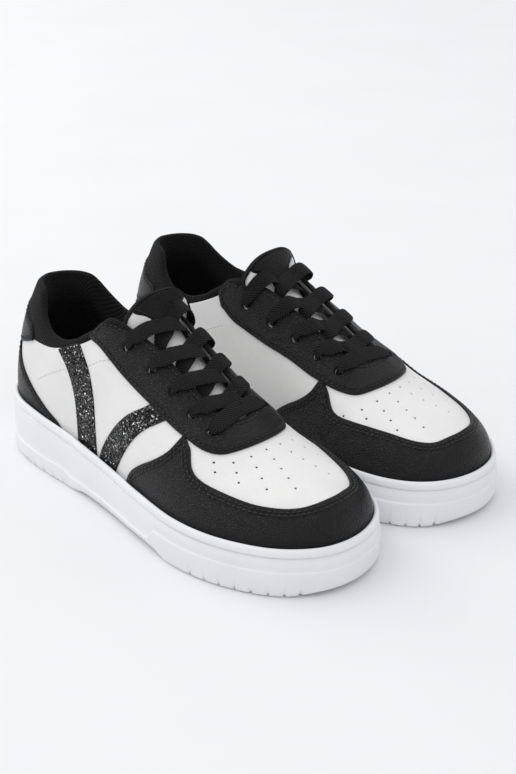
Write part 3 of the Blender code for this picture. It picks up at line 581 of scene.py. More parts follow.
def material(name, roughness, metallic=0.0, specular=0.5, sheen=0.0):
    """A Principled material with its node tree and its shader."""
    mat = bpy.data.materials.new(name)
    mat.use_nodes = True
    shader = mat.node_tree.nodes["Principled BSDF"]
    settings = {
        "Roughness": roughness, "Metallic": metallic, "Specular IOR Level": specular,
        "Sheen Weight": sheen, "Sheen Roughness": 0.5,
    }
    for setting, value in settings.items():
        shader.inputs[setting].default_value = value
    return mat, mat.node_tree, shader


def in_mm(tree, uv=False):
    """Object or UV coordinates, scaled so that one unit is a millimetre."""
    coords = tree.nodes.new("ShaderNodeTexCoord")
    mapping = tree.nodes.new("ShaderNodeMapping")
    mapping.inputs["Scale"].default_value = (1, 1, 1) if uv else (1000, 1000, 1000)
    tree.links.new(coords.outputs["UV" if uv else "Object"], mapping.inputs["Vector"])
    return mapping.outputs["Vector"]


def noise(tree, vector, scale, detail=3.0, rough=0.5):
    """A noise texture on the given coordinates."""
    node = tree.nodes.new("ShaderNodeTexNoise")
    node.inputs["Scale"].default_value = scale
    node.inputs["Detail"].default_value = detail
    node.inputs["Roughness"].default_value = rough
    tree.links.new(vector, node.inputs["Vector"])
    return node


def voronoi(tree, vector, scale, feature="F1"):
    """A texture of cells on the given coordinates."""
    node = tree.nodes.new("ShaderNodeTexVoronoi")
    node.feature = feature
    node.inputs["Scale"].default_value = scale
    tree.links.new(vector, node.inputs["Vector"])
    return node


def ramp(tree, value, stops):
    """A colour for a value, from (place, colour or grey) stops."""
    node = tree.nodes.new("ShaderNodeValToRGB")
    while len(node.color_ramp.elements) < len(stops):
        node.color_ramp.elements.new(0.5)
    for element, (place, colour) in zip(node.color_ramp.elements, stops):
        element.position = place
        element.color = (*colour, 1) if hasattr(colour, "__len__") else (colour, colour, colour, 1)
    tree.links.new(value, node.inputs["Fac"])
    return node.outputs["Color"]


def math_node(tree, operation, a, b=None, c=None):
    """The result of a sum on numbers and node outputs."""
    node = tree.nodes.new("ShaderNodeMath")
    node.operation = operation
    for k, value in enumerate((a, b, c)):
        if value is None:
            continue
        if isinstance(value, (int, float)):
            node.inputs[k].default_value = value
        else:
            tree.links.new(value, node.inputs[k])
    return node.outputs[0]


def bumps(tree, shader, layers):
    """Bump layers (height, strength, depth in mm) one on another, into the shader's normal."""
    normal = None
    for height, strength, depth in layers:
        node = tree.nodes.new("ShaderNodeBump")
        node.inputs["Strength"].default_value = strength
        node.inputs["Distance"].default_value = depth * MM
        tree.links.new(height, node.inputs["Height"])
        if normal is not None:
            tree.links.new(normal, node.inputs["Normal"])
        normal = node.outputs["Normal"]
    tree.links.new(normal, shader.inputs["Normal"])


def leather(name, dark, light, grain, depth, roughness, specular=0.5):
    """Leather with a pebble grain: shallow cells, finer pores and slow changes of tone."""
    mat, tree, shader = material(name, roughness, specular=specular)
    mm = in_mm(tree)
    wander = noise(tree, mm, 0.35, 2)
    shifted = tree.nodes.new("ShaderNodeVectorMath")
    shifted.operation = "MULTIPLY_ADD"
    tree.links.new(wander.outputs["Color"], shifted.inputs[0])
    shifted.inputs[1].default_value = (1.2, 1.2, 1.2)
    tree.links.new(mm, shifted.inputs[2])
    cells = voronoi(tree, shifted.outputs[0], 1 / grain, "DISTANCE_TO_EDGE")
    domes = ramp(tree, cells.outputs["Distance"], [(0.0, 0.0), (0.10, 0.55), (0.32, 1.0)])
    pores = noise(tree, mm, 3.2, 3)
    slow = noise(tree, mm, 0.045, 3)
    slow_share = math_node(tree, "MULTIPLY", slow.outputs["Fac"], 0.9)
    tone = math_node(tree, "MULTIPLY_ADD", domes, 0.35, slow_share)
    tree.links.new(ramp(tree, tone, [(0.25, dark), (0.95, light)]), shader.inputs["Base Color"])
    rough = math_node(tree, "MULTIPLY_ADD", pores.outputs["Fac"], 0.16, roughness - 0.08)
    tree.links.new(rough, shader.inputs["Roughness"])
    bumps(tree, shader, [
        (slow.outputs["Fac"], 0.5, 0.6), (domes, 0.55, depth), (pores.outputs["Fac"], 0.25, depth * 0.4),
    ])
    return mat


def textile(name, dark, light, pitch, depth, slant, roughness=0.9, sheen=0.3):
    """Woven or ribbed cloth on UV in millimetres: ribs at a slant, crossed by finer threads."""
    mat, tree, shader = material(name, roughness, specular=0.25, sheen=sheen)
    uv = in_mm(tree, uv=True)
    split = tree.nodes.new("ShaderNodeSeparateXYZ")
    tree.links.new(uv, split.inputs[0])
    u, v = split.outputs[0], split.outputs[1]
    turn = 2 * math.pi / pitch
    mirrored = math_node(tree, "ABSOLUTE", v)
    phase = math_node(tree, "MULTIPLY", u, turn)
    phase = math_node(tree, "MULTIPLY_ADD", mirrored, slant * turn, phase)
    rib = math_node(tree, "MULTIPLY_ADD", math_node(tree, "SINE", phase), 0.5, 0.5)
    cross = math_node(tree, "SINE", math_node(tree, "MULTIPLY", v, turn * 1.3))
    cross = math_node(tree, "MULTIPLY_ADD", cross, 0.5, 0.5)
    rib_share = math_node(tree, "MULTIPLY", rib, 0.65)
    weave = math_node(tree, "MULTIPLY_ADD", cross, 0.35, rib_share)
    fuzz = noise(tree, in_mm(tree), 2.6, 4)
    weave_share = math_node(tree, "MULTIPLY", weave, 0.6)
    tone = math_node(tree, "MULTIPLY_ADD", fuzz.outputs["Fac"], 0.5, weave_share)
    tree.links.new(ramp(tree, tone, [(0.2, dark), (0.9, light)]), shader.inputs["Base Color"])
    bumps(tree, shader, [(weave, 0.8, depth), (fuzz.outputs["Fac"], 0.4, depth * 0.6)])
    return mat


def glitter(name):
    """Tiny flat flakes that face many ways in a dark binder: most dark, a few bright."""
    mat, tree, shader = material(name, 0.28, 0.85)
    mm = in_mm(tree)
    flakes = voronoi(tree, mm, 1.3)
    split = tree.nodes.new("ShaderNodeSeparateColor")
    tree.links.new(flakes.outputs["Color"], split.inputs[0])
    shade = ramp(tree, split.outputs[0], [
        (0.0, 0.004), (0.6, 0.012), (0.85, 0.05), (0.95, 0.35), (1.0, 0.9),
    ])
    tree.links.new(shade, shader.inputs["Base Color"])
    lean = tree.nodes.new("ShaderNodeVectorMath")
    lean.operation = "MULTIPLY_ADD"
    tree.links.new(flakes.outputs["Color"], lean.inputs[0])
    lean.inputs[1].default_value = (1.3, 1.3, 1.3)
    lean.inputs[2].default_value = (-0.65, -0.65, -0.65)
    face = tree.nodes.new("ShaderNodeNewGeometry")
    both = tree.nodes.new("ShaderNodeVectorMath")
    both.operation = "ADD"
    tree.links.new(face.outputs["Normal"], both.inputs[0])
    tree.links.new(lean.outputs[0], both.inputs[1])
    unit = tree.nodes.new("ShaderNodeVectorMath")
    unit.operation = "NORMALIZE"
    tree.links.new(both.outputs[0], unit.inputs[0])
    tree.links.new(unit.outputs[0], shader.inputs["Normal"])
    return mat


def rubber(name, dark, light, roughness=0.5, depth=0.05):
    """Rubber, foam, board or plastic: a fine grit and slow changes of tone."""
    mat, tree, shader = material(name, roughness, specular=0.4)
    mm = in_mm(tree)
    grit = noise(tree, mm, 2.4, 3, 0.65)
    slow = noise(tree, mm, 0.03, 2)
    tone = ramp(tree, slow.outputs["Fac"], [(0.3, dark), (0.7, light)])
    tree.links.new(tone, shader.inputs["Base Color"])
    rough = math_node(tree, "MULTIPLY_ADD", grit.outputs["Fac"], 0.2, roughness - 0.1)
    tree.links.new(rough, shader.inputs["Roughness"])
    bumps(tree, shader, [(grit.outputs["Fac"], 0.45, depth)])
    return mat


def thread(name, dark, light):
    """Sewing thread with fine strands."""
    mat, tree, shader = material(name, 0.6, specular=0.35, sheen=0.2)
    mm = in_mm(tree)
    strands = noise(tree, mm, 5.0, 2)
    tone = ramp(tree, strands.outputs["Fac"], [(0.35, dark), (0.7, light)])
    tree.links.new(tone, shader.inputs["Base Color"])
    bumps(tree, shader, [(strands.outputs["Fac"], 0.5, 0.08)])
    return mat


LOOKS = {
    "white_leather": leather(
        "white_leather", (0.80, 0.797, 0.785), (0.88, 0.877, 0.865), 1.0, 0.16, 0.45, 0.35),
    "black_leather": leather(
        "black_leather", (0.0015, 0.0015, 0.002), (0.005, 0.005, 0.006), 1.3, 0.9, 0.30, 0.26),
    "black_textile": textile(
        "black_textile", (0.0008, 0.0008, 0.0010), (0.011, 0.011, 0.012), 1.9, 1.0, 0.6, 0.9, 0.03),
    "black_lace": textile(
        "black_lace", (0.0005, 0.0005, 0.0007), (0.015, 0.015, 0.016), 1.9, 1.6, 0.9, 0.85, 0.02),
    "white_textile": textile("white_textile", (0.52, 0.52, 0.51), (0.72, 0.72, 0.71), 0.9, 0.1, 0.0),
    "glitter": glitter("glitter"),
    "white_rubber": rubber("white_rubber", (0.84, 0.845, 0.86), (0.88, 0.885, 0.90)),
    "foam": rubber("foam", (0.48, 0.48, 0.46), (0.60, 0.60, 0.57), 0.9, 0.3),
    "board": rubber("board", (0.36, 0.29, 0.20), (0.50, 0.42, 0.30), 0.85, 0.15),
    "black_plastic": rubber("black_plastic", (0.012, 0.012, 0.012), (0.02, 0.02, 0.02), 0.3, 0.02),
    "black_thread": thread("black_thread", (0.004, 0.004, 0.0045), (0.018, 0.018, 0.019)),
    "white_thread": thread("white_thread", (0.62, 0.62, 0.61), (0.80, 0.80, 0.79)),
}
CAD_LOOKS = {
    "midsole_foam": "foam", "insole_board": "board", "sock_liner": "black_textile", "toe_puff": "board",
    "heel_counter": "board", "vamp_lining": "white_textile",
}


# ---------------------------------------------------------------- placing pieces

def placed(points, shoe):
    """Local millimetres to the frame's metres, for the right or the left shoe."""
    p = np.asarray(points, float)
    x, y = p[:, 1], SHOE_LENGTH / 2 - p[:, 0]
    if shoe == "right":
        out = np.column_stack([RIGHT_PLACE[0] - x, RIGHT_PLACE[1] + y, p[:, 2]])
    else:
        c, s = math.cos(LEFT_TURN), math.sin(LEFT_TURN)
        out = np.column_stack([LEFT_PLACE[0] + c * x - s * y, LEFT_PLACE[1] + s * x + c * y, p[:, 2]])
    return out * MM


def make(name, points, faces, look, body="shoe", nodes=(), uv=None, outwards=True,
         shoes=("right", "left")):
    """One piece for each shoe from the same local shape. uv gives a UV in millimetres for each
    point, and nodes are the solids of the CAD that the piece replaces."""
    made = []
    for shoe in shoes:
        mesh = bpy.data.meshes.new(shoe + "_" + name + "_look")
        mesh.from_pydata(placed(points, shoe).tolist(), [], [tuple(f) for f in faces])
        if uv is not None:
            layer = mesh.uv_layers.new(name="UVMap")
            corner = np.empty(len(mesh.loops), np.int32)
            mesh.loops.foreach_get("vertex_index", corner)
            layer.data.foreach_set("uv", np.asarray(uv, np.float32)[corner].ravel())
        bm = bmesh.new()
        bm.from_mesh(mesh)
        bmesh.ops.remove_doubles(bm, verts=bm.verts, dist=1e-7)
        if outwards:
            bmesh.ops.recalc_face_normals(bm, faces=bm.faces)
        bm.to_mesh(mesh)
        bm.free()
        mesh.shade_smooth()
        obj = bpy.data.objects.new(shoe + "_" + name + "_look", mesh)
        bpy.context.scene.collection.objects.link(obj)
        mesh.materials.append(LOOKS[look])
        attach(obj, shoe + "_" + body)
        if nodes:
            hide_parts(*[shoe + "_" + node for node in nodes])
        made.append(obj)
    return made


def make_panel(name, outline, look, **shape):
    """A panel of the upper, in place of the CAD's solid of the same name."""
    points, faces = panel(outline, **shape)
    make(name, points, faces, look, nodes=(name,))


# ---------------------------------------------------------------- outlines on the last

EYESTAY_ROW, HEEL_ROW, TAB_ROW = 2.2, 2.3, 2.0  # distances of the stitch lines from the edge
MUDGUARD_ROWS = (2.5, 4.6)
LOW_EDGE = -0.55  # girth below the rim where the panels end, inside the sole's cup


def wall_line(start, end, w, steps=24):
    """Chart points along the panels' hidden lower edge between two stations."""
    return np.column_stack([np.linspace(start, end, steps), np.full(steps, w)])


EYESTAY_EDGE = [
    (99, 26.2), (108, 27.2), (120, 28), (150, 29.3), (180, 29.2), (194, 27.6), (203.5, 21.6),
    (208.6, 11), (210.6, -3), (208.6, -16), (203.5, -25.5), (194, -30), (180, -31.2), (157, -30.2),
    (140, -29.3), (121, -28.2), (107, -27.8), (98.5, -27.0),
]
THROAT_EDGE = [
    (103, 20.0), (118, 15.8), (131, 12.4), (150, 10.8), (180, 9.6), (190.5, 8.2), (194.6, 2.5),
    (194.6, -6.5), (190.5, -12.8), (180, -14), (150, -15.4), (131, -17), (118, -20.0), (103, -23.2),
]
TOE_BOX_EDGE = [
    (188, 31), (196, 36.8), (206, 37.4), (225, 33.4), (241, 27.2), (253, 18.2), (259.5, 8),
    (261.5, -4), (260, -14), (256.5, -22.5), (248, -29), (231, -34), (211, -38), (196, -38),
    (188, -33),
]
MUDGUARD_REAR = [(141, 12), (145.5, 28), (151, 37.5), (160, 45), (170, 51.5), (177, 58), (180, 66)]
HEEL_FRONT = [
    (76, 12), (76, 33.4), (60.5, 42.0), (48.8, 48.1), (38.6, 54.6), (29.6, 60.4), (23, 66), (20.5, 70.2),
]
STRIPE_REAR = (
    [(93.2, 20), (93.0, 34), (92.2, 47), (88.8, 61.0), (80.6, 73.6), (70.4, 82.4)],
    [(87.4, 91.0), (100.0, 78.4), (107.6, 63.8), (111.0, 46), (112.2, 32.6), (112.2, 20)],
)
STRIPE_FRONT = (
    [(114.4, 20), (116, 32.3), (127.5, 51.8), (139.7, 66.1), (153, 77), (160, 86)],
    [(176, 78), (166.9, 72), (156.7, 64.1), (146.4, 51.5), (134.2, 31.5), (127.5, 20)],
)


def eyelet_hole(x, y, radius, count=18):
    """A round hole on the last over a plan position, as a chart loop."""
    centre = on_plan([(x - 0.01, y), (x, y), (x + 0.01, y)], 1)[1]
    ja, jb = [slope[0] for slope in chart_slopes(centre[None], e=0.001)]
    u = ja / np.linalg.norm(ja)
    n = np.cross(ja, jb)
    v = np.cross(n / np.linalg.norm(n), u)
    a = np.arange(count) * 2 * np.pi / count
    way = radius * (np.cos(a)[:, None] * u + np.sin(a)[:, None] * v)
    grid = np.array([[ja @ ja, ja @ jb], [ja @ jb, jb @ jb]])
    steps = np.linalg.solve(grid, np.stack([way @ ja, way @ jb]))
    return centre + steps.T


def perforations():
    """Centres of the toe box's small holes: columns that fan out from the throat."""
    side = [
        [(203, 27.6), (207.2, 30.6)], [(210.9, 20.4), (216.5, 23.2), (221.5, 26.3)],
        [(214.5, 10.5), (221.5, 13.2), (228.6, 16), (235.6, 19)],
    ]
    middle = [[(215.5, 0), (222.9, 1.4), (230.4, 3.2), (238, 5.2), (245.8, 7.4)]]
    columns = side + middle
    mirrored = [[(x, -10.2 - y) for x, y in column] for column in columns]
    return [spot for column in columns + mirrored for spot in column]


# ---------------------------------------------------------------- the upper

# White base leather: the vamp under the toe box and the two quarters
throat = on_plan(THROAT_EDGE, 8)
t_front = float(station_t(184.0))
front_of_throat = throat[throat[:, 0] > t_front]
tip_t = 0.995
vamp_loop = np.vstack([
    wall_line(float(station_t(182.0)), tip_t, LOW_EDGE, 60),
    np.column_stack([np.full(60, tip_t), np.linspace(LOW_EDGE, np.pi - LOW_EDGE, 60)]),
    wall_line(tip_t, float(station_t(182.0)), np.pi - LOW_EDGE, 60),
    np.array([[float(station_t(182.5)), np.pi - 0.1]]),
    front_of_throat[::-1],
    np.array([[float(station_t(182.5)), 0.1]]),
])
holes_front = [eyelet_hole(x, y, QUARTER_HOLE) for x, y in (EYELETS_OUTER[4], EYELETS_INNER[4])]
dots = [eyelet_hole(x, y, PERFORATION_RADIUS, 8) for x, y in perforations()]
make_panel(
    "vamp", vamp_loop, "white_leather", holes=holes_front + dots, low=-1.0, high=0.0, edge=0.2,
    puff=0.0, step=2.2, spacing=1.6,
)
# Painted shade: a black cloth disc sits 0.75 mm down inside each small hole of the toe box and stands
# for the shade in the hole, since the lining under the toe box is pale.
painted_shade_discs = []
for x, y in perforations():
    ring = eyelet_hole(x, y, PERFORATION_RADIUS + 0.28, 8)
    centre = ring.mean(0)[None]
    base = surface(ring, -0.75)
    top = surface(centre, -0.75)
    painted_shade_discs.append((np.vstack([base, top]), [(k, (k + 1) % 8, 8) for k in range(8)]))
painted_shade_points, painted_shade_faces = join(*painted_shade_discs)
make(
    "perforation_painted_shade", painted_shade_points, painted_shade_faces, "black_textile", outwards=False,
    uv=painted_shade_points[:, :2],
)


def quarter_loop(outer):
    """Outline of one quarter, from the heel along the collar band and the throat, and back."""
    top = [(x, float(band_low(x)) - 0.9) for x in (0, 12, 25, 40, 52, 62, 72, 80, 88, 96, 103)]
    tops = []
    for x, z in top:
        t = float(station_t(max(x, HEEL_X + 0.02)))
        tops.append([t, float(unwarp(girth_at_height(t, z, outer)))])
    edge = throat if outer else throat[::-1]
    part = edge[edge[:, 0] < t_front]
    part = part[: len(part) // 2]
    low = LOW_EDGE if outer else np.pi - LOW_EDGE
    tops = smooth_path(tops, 5)
    first = tops[0, 0]
    down = np.column_stack([np.full(20, first), np.linspace(low, tops[0, 1], 20)])
    front = np.array([[t_front, 0.5 if outer else np.pi - 0.5], [t_front, low]])
    return np.vstack([down[:-1], tops, part, front, wall_line(t_front, first, low, 50)[1:-1]])


for side, outer in (("outer", True), ("inner", False)):
    eyelets = (EYELETS_OUTER if outer else EYELETS_INNER)[:4]
    make_panel(
        "quarter_" + side, quarter_loop(outer), "white_leather",
        holes=[eyelet_hole(x, y, QUARTER_HOLE) for x, y in eyelets], low=-1.1, high=0.0, edge=0.35,
        puff=0.0, step=2.6, spacing=1.8,
    )

# The black overlays
mud_outer, mud_inner = on_side(MUDGUARD_REAR, True), on_side(MUDGUARD_REAR, False)
mud_loop = np.vstack([
    [[mud_outer[0, 0], LOW_EDGE]], mud_outer, on_plan(TOE_BOX_EDGE, 8), mud_inner[::-1],
    [[mud_inner[0, 0], np.pi - LOW_EDGE]],
    wall_line(mud_inner[0, 0], tip_t, np.pi - LOW_EDGE, 50)[1:],
    np.column_stack([np.full(40, tip_t), np.linspace(np.pi - LOW_EDGE, LOW_EDGE, 40)])[1:-1],
    wall_line(tip_t, mud_outer[0, 0], LOW_EDGE, 50)[:-1],
])
make_panel("mudguard", mud_loop, "black_leather", low=0.05, rows=MUDGUARD_ROWS, crease=0.42)

eyestay_edge = on_plan(EYESTAY_EDGE, 8)
end_inner = on_side([(94.6, 96.4), (97, 99.6), (100.6, 103.8)], False, 3)
end_outer = on_side([(100.6, 103.8), (97, 99.6), (94.6, 96.4)], True, 3)
eyestay_loop = np.vstack([eyestay_edge, end_inner, throat[::-1], end_outer])
eyelets = [eyelet_hole(x, y, PANEL_HOLE) for x, y in EYELETS_OUTER + EYELETS_INNER]


def over_mudguard(points):
    """The eyelet panel rises where it lies over the mudguard and the toe box's edge."""
    over_edge = ease(points[:, 0], 166, 178) * ease(np.abs(points[:, 1] + 1), 18, 25)
    return 0.6 * over_edge + 0.3 * ease(points[:, 0], 186, 200)


make_panel(
    "eyestay", eyestay_loop, "black_leather", holes=eyelets, high=1.45, edge=0.55,
    rows=(EYESTAY_ROW,), puff=0.4, crease=0.42, step=2.0, bump=over_mudguard,
)

heel_front = on_side(HEEL_FRONT, True)
heel_top = np.array([[0.0, float(on_side([(1, 67.0), (1, 67.5), (1, 68)], True, 1)[1, 1])]])
heel_loop = np.vstack([
    [[heel_front[0, 0], LOW_EDGE]], heel_front, heel_top, (heel_front * [-1, 1])[::-1],
    [[-heel_front[0, 0], LOW_EDGE]],
    wall_line(-heel_front[0, 0], heel_front[0, 0], LOW_EDGE, 80)[1:-1],
])
make_panel("heel_overlay", heel_loop, "black_leather", heel=True, rows=(HEEL_ROW,), puff=0.15)

tab_low = on_side([(3, 67.6), (20, 70.2), (43.5, 79)], True)
tab_end = on_side([(43.5, 79), (43.4, 83), (41, 87.6)], True)
tab_top = on_side([(41, 87.6), (31, 89.5), (21, 95.5), (12, 99.5), (3, 100.5)], True)
tab_half = np.vstack([tab_low, tab_end[1:], tab_top[1:]])
tab_low_mid = [[0.0, float(tab_low[0, 1])]]
tab_top_mid = [[0.0, float(tab_top[-1, 1])]]
tab_loop = np.vstack([tab_low_mid, tab_half, tab_top_mid, (tab_half * [-1, 1])[::-1]])
make_panel("heel_tab", tab_loop, "black_leather", heel=True, rows=(TAB_ROW,))

for name, (back, front) in (("stripe_rear", STRIPE_REAR), ("stripe_front", STRIPE_FRONT)):
    stripe_loop = np.vstack([on_side(back), on_side(front)])
    make_panel(name, stripe_loop, "glitter", high=0.8, edge=0.35, puff=0.05, step=2.2)

# Stitches
def clear_of_eyestay(points):
    """True where the mudguard's seams aren't under the eyelet panel."""
    inner = surface(even(eyestay_edge, 3.0, closed=False), 0)[:, :2]
    return ~inside(points[:, :2], inner) & (points[:, 2] > rim_height(points[:, 0]) - 1)


sewn_points, sewn_faces = join(
    stitch_row(eyestay_loop, EYESTAY_ROW, 1.62),
    stitch_row(mud_loop, MUDGUARD_ROWS[0], OVERLAY + 0.08, keep=clear_of_eyestay),
    stitch_row(mud_loop, MUDGUARD_ROWS[1], OVERLAY + 0.1, keep=clear_of_eyestay),
    stitch_row(heel_loop, HEEL_ROW, OVERLAY + 0.05, heel=True),
    stitch_row(tab_loop, TAB_ROW, OVERLAY + 0.05, heel=True),
)
make("black_stitches", sewn_points, sewn_faces, "black_thread")
white_points, white_faces = join(*[
    stitch_row(on_side(line, outer), 0, 0.05, closed=False) for line, outer in (
        ([(50.8, 57.3), (64, 65.6), (78.3, 73.1)], True),
        ([(99, 80.9), (108, 84.8), (116.7, 88)], True),
        ([(87.6, 70.9), (95, 74.6), (103.1, 77.9)], False),
    )
])
make("white_stitches", white_points, white_faces, "white_thread")


# ---------------------------------------------------------------- the padded collar

def collar_section(x):
    """Closed section of the padded collar at a station: a band outside, a full roll over the
    top and a lining down the inside, as (offset, height) points."""
    top, low = float(collar_top(x)), float(band_low(x))
    tall = max(top - low, 2.0)
    pad = COLLAR_PAD * (1 - float(ease(x, 72, 94)))
    thick = 3.4 + 0.25 * pad
    band = []
    for k in range(9):
        s = k / 8
        bulge = -0.9 + 1.5 * math.sin(math.pi * min(1.0, s * 0.75 + 0.06)) * min(1.0, tall / 8)
        band.append((bulge, low - 1.6 + (tall - min(3.0, tall * 0.5) + 1.6) * s))
    start, z_roll = band[-1]
    roll = []
    for k in range(1, 10):
        a = math.pi * k / 10
        out = (start - thick) / 2 + (start + thick) / 2 * math.cos(a)
        roll.append((out, z_roll + (top + 0.2 - z_roll) * math.sin(a)))
    inner = []
    for below in (3, 6, 10, 15, 21, 28, 36):
        fading = 1 - float(ease(below, 16, 36))
        inner.append((-3.6 - pad * fading * max(float(ease(below, -2, 12)), 0.25), top - below))
    for z in (float(section_base(x)) + 2, float(section_base(x)) - 6, UPPER_BOTTOM):
        inner.append((-3.6, z))
    back = [(-2.8, UPPER_BOTTOM), (-2.8, float(section_base(x)))]
    for below in (36, 24):
        back.append((-2.8, top - below))
    back.append((-2.2, low - 3))
    return band + roll + inner + back


front_t = float(station_t(COLLAR_FRONT))
half = np.concatenate([np.linspace(front_t, 0.06, 46), np.linspace(0.06, 0.0, 14)[1:]])
stations = [(t, True) for t in half] + [(t, False) for t in half[::-1][1:]]
TOP_POINT = 12  # the point of a section that the cloth's UV is measured along
rings, ring_uv, travelled = [], [], 0.0
for t, outer in stations:
    x = float(station_x(t))
    section = np.array(collar_section(x))
    g = girth_at_height(np.full(len(section), t), section[:, 1], outer)
    ring = skin(np.full(len(section), t), g, section[:, 0])
    if rings:
        travelled += float(np.linalg.norm(ring[TOP_POINT] - rings[-1][TOP_POINT]))
    rings.append(ring)
    ring_uv.append(np.column_stack([np.full(len(ring), travelled), lengths_along(ring)]))
collar_points, collar_faces = sweep(rings)
collar = make(
    "collar", collar_points, collar_faces, "black_textile", nodes=("collar_lining", "collar_foam"),
    uv=np.vstack(ring_uv),
)
for obj in collar:
    soft = obj.modifiers.new("round", "SUBSURF")
    soft.levels = soft.render_levels = 1

def collar_edge(x, outer):
    """A point along the collar's top edge, with the binding's size there."""
    t = float(station_t(x))
    point = skin(t, girth_at_height(t, float(collar_top(x)) - 1.7, outer), -1.1)
    return [*point, 2.0 * float(ease(x, 76, 92))]


def throat_edge(chart_point):
    """A point along the throat's edge, with the binding's size there."""
    point = surface(chart_point[None], 0.35)[0]
    return [*point, 2.05 - 1.1 * float(ease(point[0], 108, 130))]


def tube(spine, ring_at, count=14):
    """Sections of a cord along a path, and their UV in millimetres. ring_at(k, angle) gives a
    point of the section and its UV's second part."""
    run = lengths_along(spine)
    angles = np.arange(count) * 2 * np.pi / count
    made = [[ring_at(k, a) for a in angles] for k in range(len(spine))]
    rows = [[point for point, v in ring] for ring in made]
    uvs = [(run[k], v) for k, ring in enumerate(made) for point, v in ring]
    points, faces = sweep(rows)
    return points, faces, np.array(uvs)


# Textile binding: a roll that runs off the collar's edge, round the eyelet panel's back end and
# along the throat, where it narrows
beside_collar = np.linspace(80, 101, 10)
roll = [collar_edge(x, True) for x in beside_collar]
roll += [throat_edge(spot) for spot in throat[2:-2:3]]
roll += [collar_edge(x, False) for x in beside_collar[::-1]]
roll = smooth_path(roll, 3)
spine, size = roll[:, :3], roll[:, 3]
way = np.gradient(spine, axis=0)
way /= np.linalg.norm(way, axis=1)[:, None]
out = np.cross(way, np.cross(spine - np.array([140, -4, 20.0]), way))
out /= np.linalg.norm(out, axis=1)[:, None]
across = np.cross(way, out)


def throat_binding_point(k, a):
    """A point of the throat's binding at an angle round its section, and its UV."""
    direction = out[k] * math.sin(a) * 1.15 + across[k] * math.cos(a)
    return spine[k] + direction * max(0.3, size[k]), a * size[k]


bind_points, bind_faces, bind_uv = tube(spine, throat_binding_point)
make("throat_binding", bind_points, bind_faces, "black_textile", uv=bind_uv)


# ---------------------------------------------------------------- the tongue

tongue_path = smooth_path(TONGUE_PATH, 8)
tongue_lengths = lengths_along(tongue_path)
TONGUE_LENGTH = tongue_lengths[-1]
tongue_half, tongue_arch = curve_through(TONGUE_HALF_WIDTH), curve_through(TONGUE_ARCH)
tongue_power, tongue_inner_drop = curve_through(TONGUE_ARCH_POWER), curve_through(TONGUE_INNER_DROP)
ACROSS = np.linspace(-1, 1, 25)  # the points across one face of the tongue
lean_side = -1  # -1 while the right shoe's tongue and lace are made, and 1 for the left one's


def tongue_point(row, v, depth):
    """A point of the tongue at a share of its length, a share of its half width and a depth.
    The top's corners are rounded, so they fall short of the middle, and its free end falls away
    downwards on both sides."""
    s = row - TONGUE_CORNER * abs(v) ** 3 * float(ease(row, 0.75, 1))
    spots = s * TONGUE_LENGTH + np.array([-1, 0, 1])
    behind, centre, ahead = np.column_stack([
        np.interp(spots, tongue_lengths, tongue_path[:, k]) for k in (0, 1)
    ])
    tx, tz = (ahead - behind) / np.linalg.norm(ahead - behind)
    normal = np.array([tz, -tx])
    drop = float(tongue_arch(row)) * abs(v) ** float(tongue_power(row))
    if v < 0:
        drop *= float(tongue_inner_drop(row))
    free = float(ease(row, 0.75, 0.95))
    fall = np.array([normal[0] * (1 - 0.45 * free), max(normal[1], 0.85 * free)])
    x, z = centre + normal * depth - fall * drop
    shift = lean_side * TONGUE_SHIFT * float(ease(row, 0.6, 0.95))
    return np.array([x, TONGUE_CENTRE + shift + v * float(tongue_half(row)), z])


def tongue_body(start, end, top, bottom, rows=48, edge=1.2, crown=0.0):
    """A rounded layer of the tongue: sections across it from one share of its length to another."""
    sections, uvs = [], []
    for k in range(rows + 1):
        s = start + (end - start) * k / rows
        near_end = min(k, rows - k) / rows * (end - start) * TONGUE_LENGTH
        close = math.sqrt(max(0.0, 1 - (1 - min(1.0, (near_end + 0.05) / 1.6)) ** 2))
        mid, high = (top + bottom) / 2, (top - bottom) / 2 * max(0.15, close)
        width = float(tongue_half(s))
        ring = []
        for v, face in [(v, 1) for v in ACROSS] + [(v, -1) for v in ACROSS[::-1]]:
            thin = math.sqrt(max(0.0, 1 - (max(0.0, abs(v) * width - (width - edge)) / edge) ** 2))
            extra = crown * (1 - v * v) * min(1.0, near_end / 8) if face > 0 else 0.0
            ring.append((v, mid + face * high * max(0.12, thin) + extra))
        sections.append([tongue_point(s, v, d) for v, d in ring])
        uvs += [(s * TONGUE_LENGTH, v * width) for v, d in ring]
    points, faces = sweep(sections)
    return points, faces, np.array(uvs)


TONGUE_END = 0.985  # the tongue's layers end at this share of its path
PATCH_START = 0.74
PATCH_STITCH = (  # (distance along, radius, lift) of the rings of one stitch
    (0.0, 0.08, -0.15), (0.3, 0.24, 0.0), (1.1, 0.3, 0.1), (1.9, 0.24, 0.0), (2.2, 0.08, -0.15),
)


def patch_half(s):
    """Half width of the black patch: narrow below and almost as wide as the tongue at the top."""
    return float(0.40 + 0.44 * ease(s, 0.80, 1.0))


def lace_point(x, y, shift, offset, width):
    """A lace point over a plan position, moved round the shoe by a shift (positive towards the
    inner side): the point, the way its flat side runs and its width."""
    t = float(station_t(x))
    g = float(plan_girth(x, y))
    speed = float(np.linalg.norm(last(t, g + 0.01) - last(t, g - 0.01))) / 0.02
    g += shift / speed
    return skin(t, g, offset), last(t + 0.002, g) - last(t - 0.002, g), width


OVER, UNDER = 2.7, -4.0  # offsets of the lace outside and inside the edge of the throat
STRIP_WIDTH = 10.2
LOOSE = (4.5, 3.0, 1.4, 1.0, 0.0)  # how far the lace stands up at the eyelets on the far side


